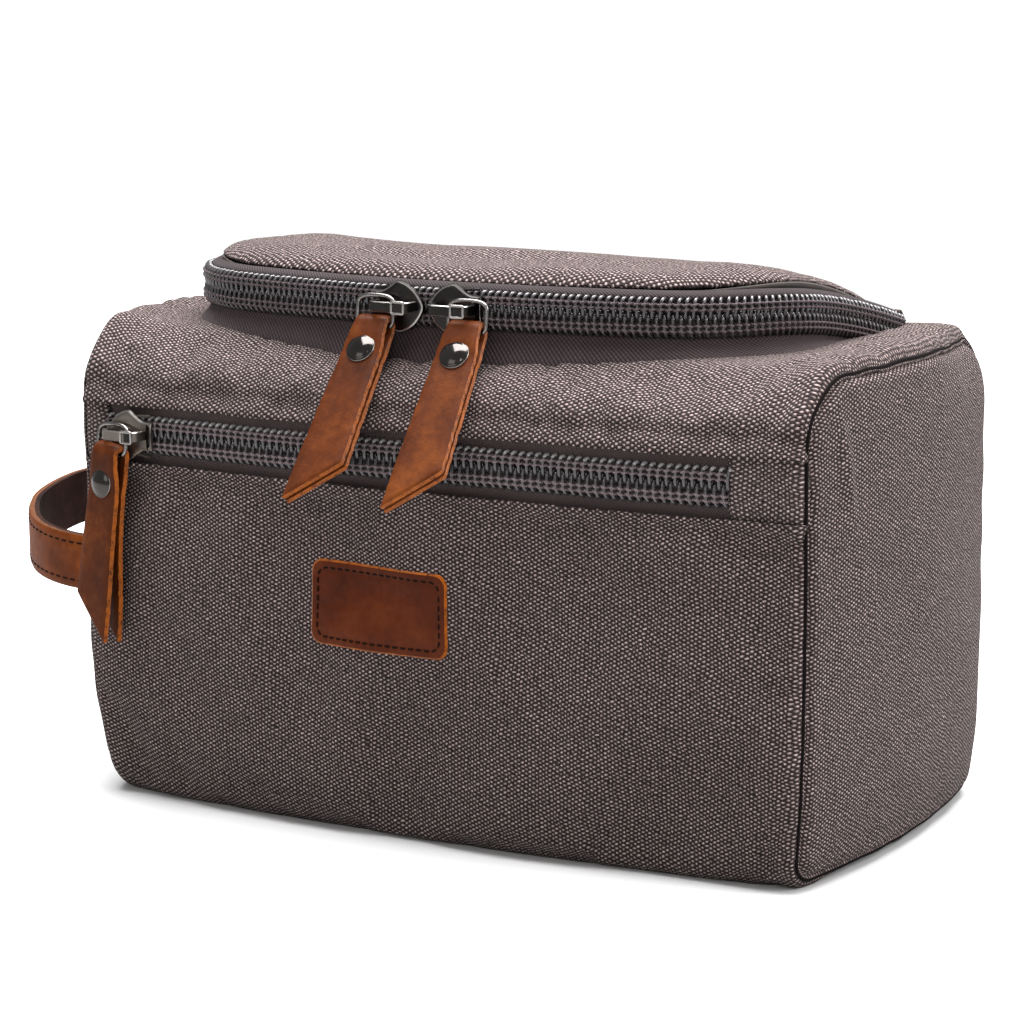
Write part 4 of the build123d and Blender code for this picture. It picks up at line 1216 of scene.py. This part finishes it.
def handle():
    """The grab handle: a lined strap from the front seam to the back seam, bowed out past the left end."""
    turn = pi * np.linspace(0, 1, 120)
    x = -HL + 3.0 - (-HL - handle_lo[0] + 1.0) * np.sin(turn) ** 0.92
    y = -(HD - 1.0) * np.cos(turn) * 0.985
    z = np.interp(y, [-60, -45, -30, 0, 60], [69.0, 70.4, 73.2, 75.6, 77.4])
    path = np.stack([x, y], 1)
    tan = unit(np.gradient(path, axis=0))
    out = np.stack([-tan[:, 1], tan[:, 0]], 1)
    if out[60, 0] > 0:
        out = -out
    half_width, rows = 8.3, 15
    w = np.linspace(-1, 1, rows)
    soft = 0.55 * share((np.abs(w) - 0.82) / 0.18) ** 2 + 0.28 * bell(np.abs(w) - 0.70, 0.045)
    n = 2 * rows

    def layer(inner, outer, name, mats, slot, node, worn):
        """One strap between two distances from the path; worn is how much its outer face is shaped."""
        offs = [(outer - s * worn, a) for s, a in zip(soft, w)] + [(inner, a) for a in w]
        p = np.stack([np.column_stack([path + out * o, z + a * half_width]) for o, a in offs], 1)
        faces, flags = [], []
        for a in range(0, (len(path) - 1) * n, n):
            b = a + n
            for j in range(rows - 1):
                faces.append((a + j, b + j, b + j + 1, a + j + 1))
                faces.append((a + rows + j, a + rows + j + 1, b + rows + j + 1, b + rows + j))
            faces.append((a + rows - 1, b + rows - 1, b + n - 1, a + n - 1))
            faces.append((a, a + rows, b + rows, b))
            flags += [0] * (n - 2) + [1, 1]
        for a in (0, (len(path) - 1) * n):
            loop = (*range(a, a + rows), *range(a + n - 1, a + rows - 1, -1))
            faces.append(loop if a == 0 else loop[::-1])
            flags.append(0)
        Piece().add(p, faces, flags).make(name, "bag", slot, mats, (node,), sharp=55)

    layer(-0.1, 1.9, "handle_outer", [LEATHER_STRAP, HANDLE_EDGE_PAINTED_SHADE], "leather", "handle_outer_leather", 1.0)
    layer(-1.5, -0.1, "handle_inner", [LEATHER_BACK, LEATHER_BACK], "leather_back", "handle_inner_leather", 0.0)
    sew = Piece()
    normal = np.column_stack([out, np.zeros(len(out))])
    for a in (-0.70, 0.70):
        line = np.column_stack([path + out * 1.66, z + a * half_width])
        stitches(sew, line[4:-4], normal[4:-4])
    sew.make("handle_stitching", "bag", "leather", [STITCH])


# ---- build
wrap_part("wrap_front_and_base", 0, V_ZIP_LOW, ("wall_foam_front", "base_foam"), hem=1.2)
wrap_part("wrap_back_and_base", V_BACK, BREAKS[-1], ("wall_foam_back",))
top_cloth()
for build in (end_cloth, end_seam_shade, end_tab):
    for side, word in ((-1, "left"), (1, "right")):
        build(side, word)
zips()
lid_cloth()
hinge_cloth()
lining()
pouch()
for name, tail, kind, lengths, spread in (
        ("lid_left", -1, GUN, (57.5, 45.0), 0.5),
        ("lid_right", 1, GUN, (57.5, 45.0), 0.5),
        ("pocket", 1, PEWTER, (43.5, 56.0), 3.2)):
    slider(name, tail, kind)
    wire_ring(name)
    leather_pull(name, lengths, spread)
    rivet(name)
label()
handle()


# ---- stage, light and camera
def floor():
    me = bpy.data.meshes.new("floor")
    me.from_pydata([(-1.3, -1.3, 0), (1.3, -1.3, 0), (1.3, 1.1, 0), (-1.3, 1.1, 0)], [], [(0, 1, 2, 3)])
    o = bpy.data.objects.new("floor", me)
    bpy.context.scene.collection.objects.link(o)
    k = Nodes("floor_paper")
    seen = k.node("ShaderNodeLightPath", out="Is Camera Ray")
    paper = k.mix(k.noise(k.obj(), 3.0), (0.93, 0.93, 0.93, 1), (0.96, 0.96, 0.96, 1))
    me.materials.append(k.done(k.mix(seen, (0.42, 0.42, 0.42, 1), paper), 0.9, spec=0.1))


def area(name, at, aim, size, power):
    l = bpy.data.lights.new(name, "AREA")
    l.shape, l.size, l.size_y, l.energy = "RECTANGLE", *size, power
    o = bpy.data.objects.new(name, l)
    o.location = at
    o.rotation_euler = (Vector(aim) - Vector(at)).to_track_quat("-Z", "Y").to_euler()
    bpy.context.scene.collection.objects.link(o)


def lights():
    area("key_right", (1.6, 0.1, 1.1), (0, 0, 0.08), (1.1, 1.1), 18)
    area("top_soft", (-0.1, 0.25, 1.9), (0, 0, 0.1), (2.0, 1.6), 100)
    area("front_fill", (-0.7, -1.9, 0.9), (0, 0, 0.08), (1.0, 0.8), 2.5)
    area("strip", (0.75, -1.7, 0.75), (0, 0, 0.1), (0.10, 1.3), 3.0)
    w = bpy.data.worlds.new("studio")
    bpy.context.scene.world = w
    w.use_nodes = True
    t = w.node_tree
    level = t.nodes.new("ShaderNodeMapRange")
    t.links.new(t.nodes.new("ShaderNodeLightPath").outputs["Is Camera Ray"], level.inputs["Value"])
    level.inputs["To Min"].default_value = 0.28
    level.inputs["To Max"].default_value = 1.05
    t.nodes["Background"].inputs[0].default_value = (1, 1, 1, 1)
    t.links.new(level.outputs[0], t.nodes["Background"].inputs[1])


def camera():
    a, e, roll, dist = radians(29.8), radians(10.7), radians(-0.4), 1.006
    back = Vector((sin(a) * cos(e), -cos(a) * cos(e), sin(e)))
    right = Vector((cos(a), sin(a), 0))
    up = back.cross(right)
    r = right * cos(roll) + up * sin(roll)
    u = up * cos(roll) - right * sin(roll)
    cam = bpy.data.cameras.new("camera")
    cam.lens, cam.sensor_width, cam.clip_end = 117.6, 36.0, 60
    o = bpy.data.objects.new("camera", cam)
    rot = Matrix((r, u, back)).transposed().to_4x4()
    o.matrix_world = Matrix.Translation(Vector((-0.007, 0, 0.0848)) + back * dist) @ rot
    bpy.context.scene.collection.objects.link(o)
    bpy.context.scene.camera = o


floor()
lights()
camera()
bpy.context.scene.view_settings.view_transform = "Standard"
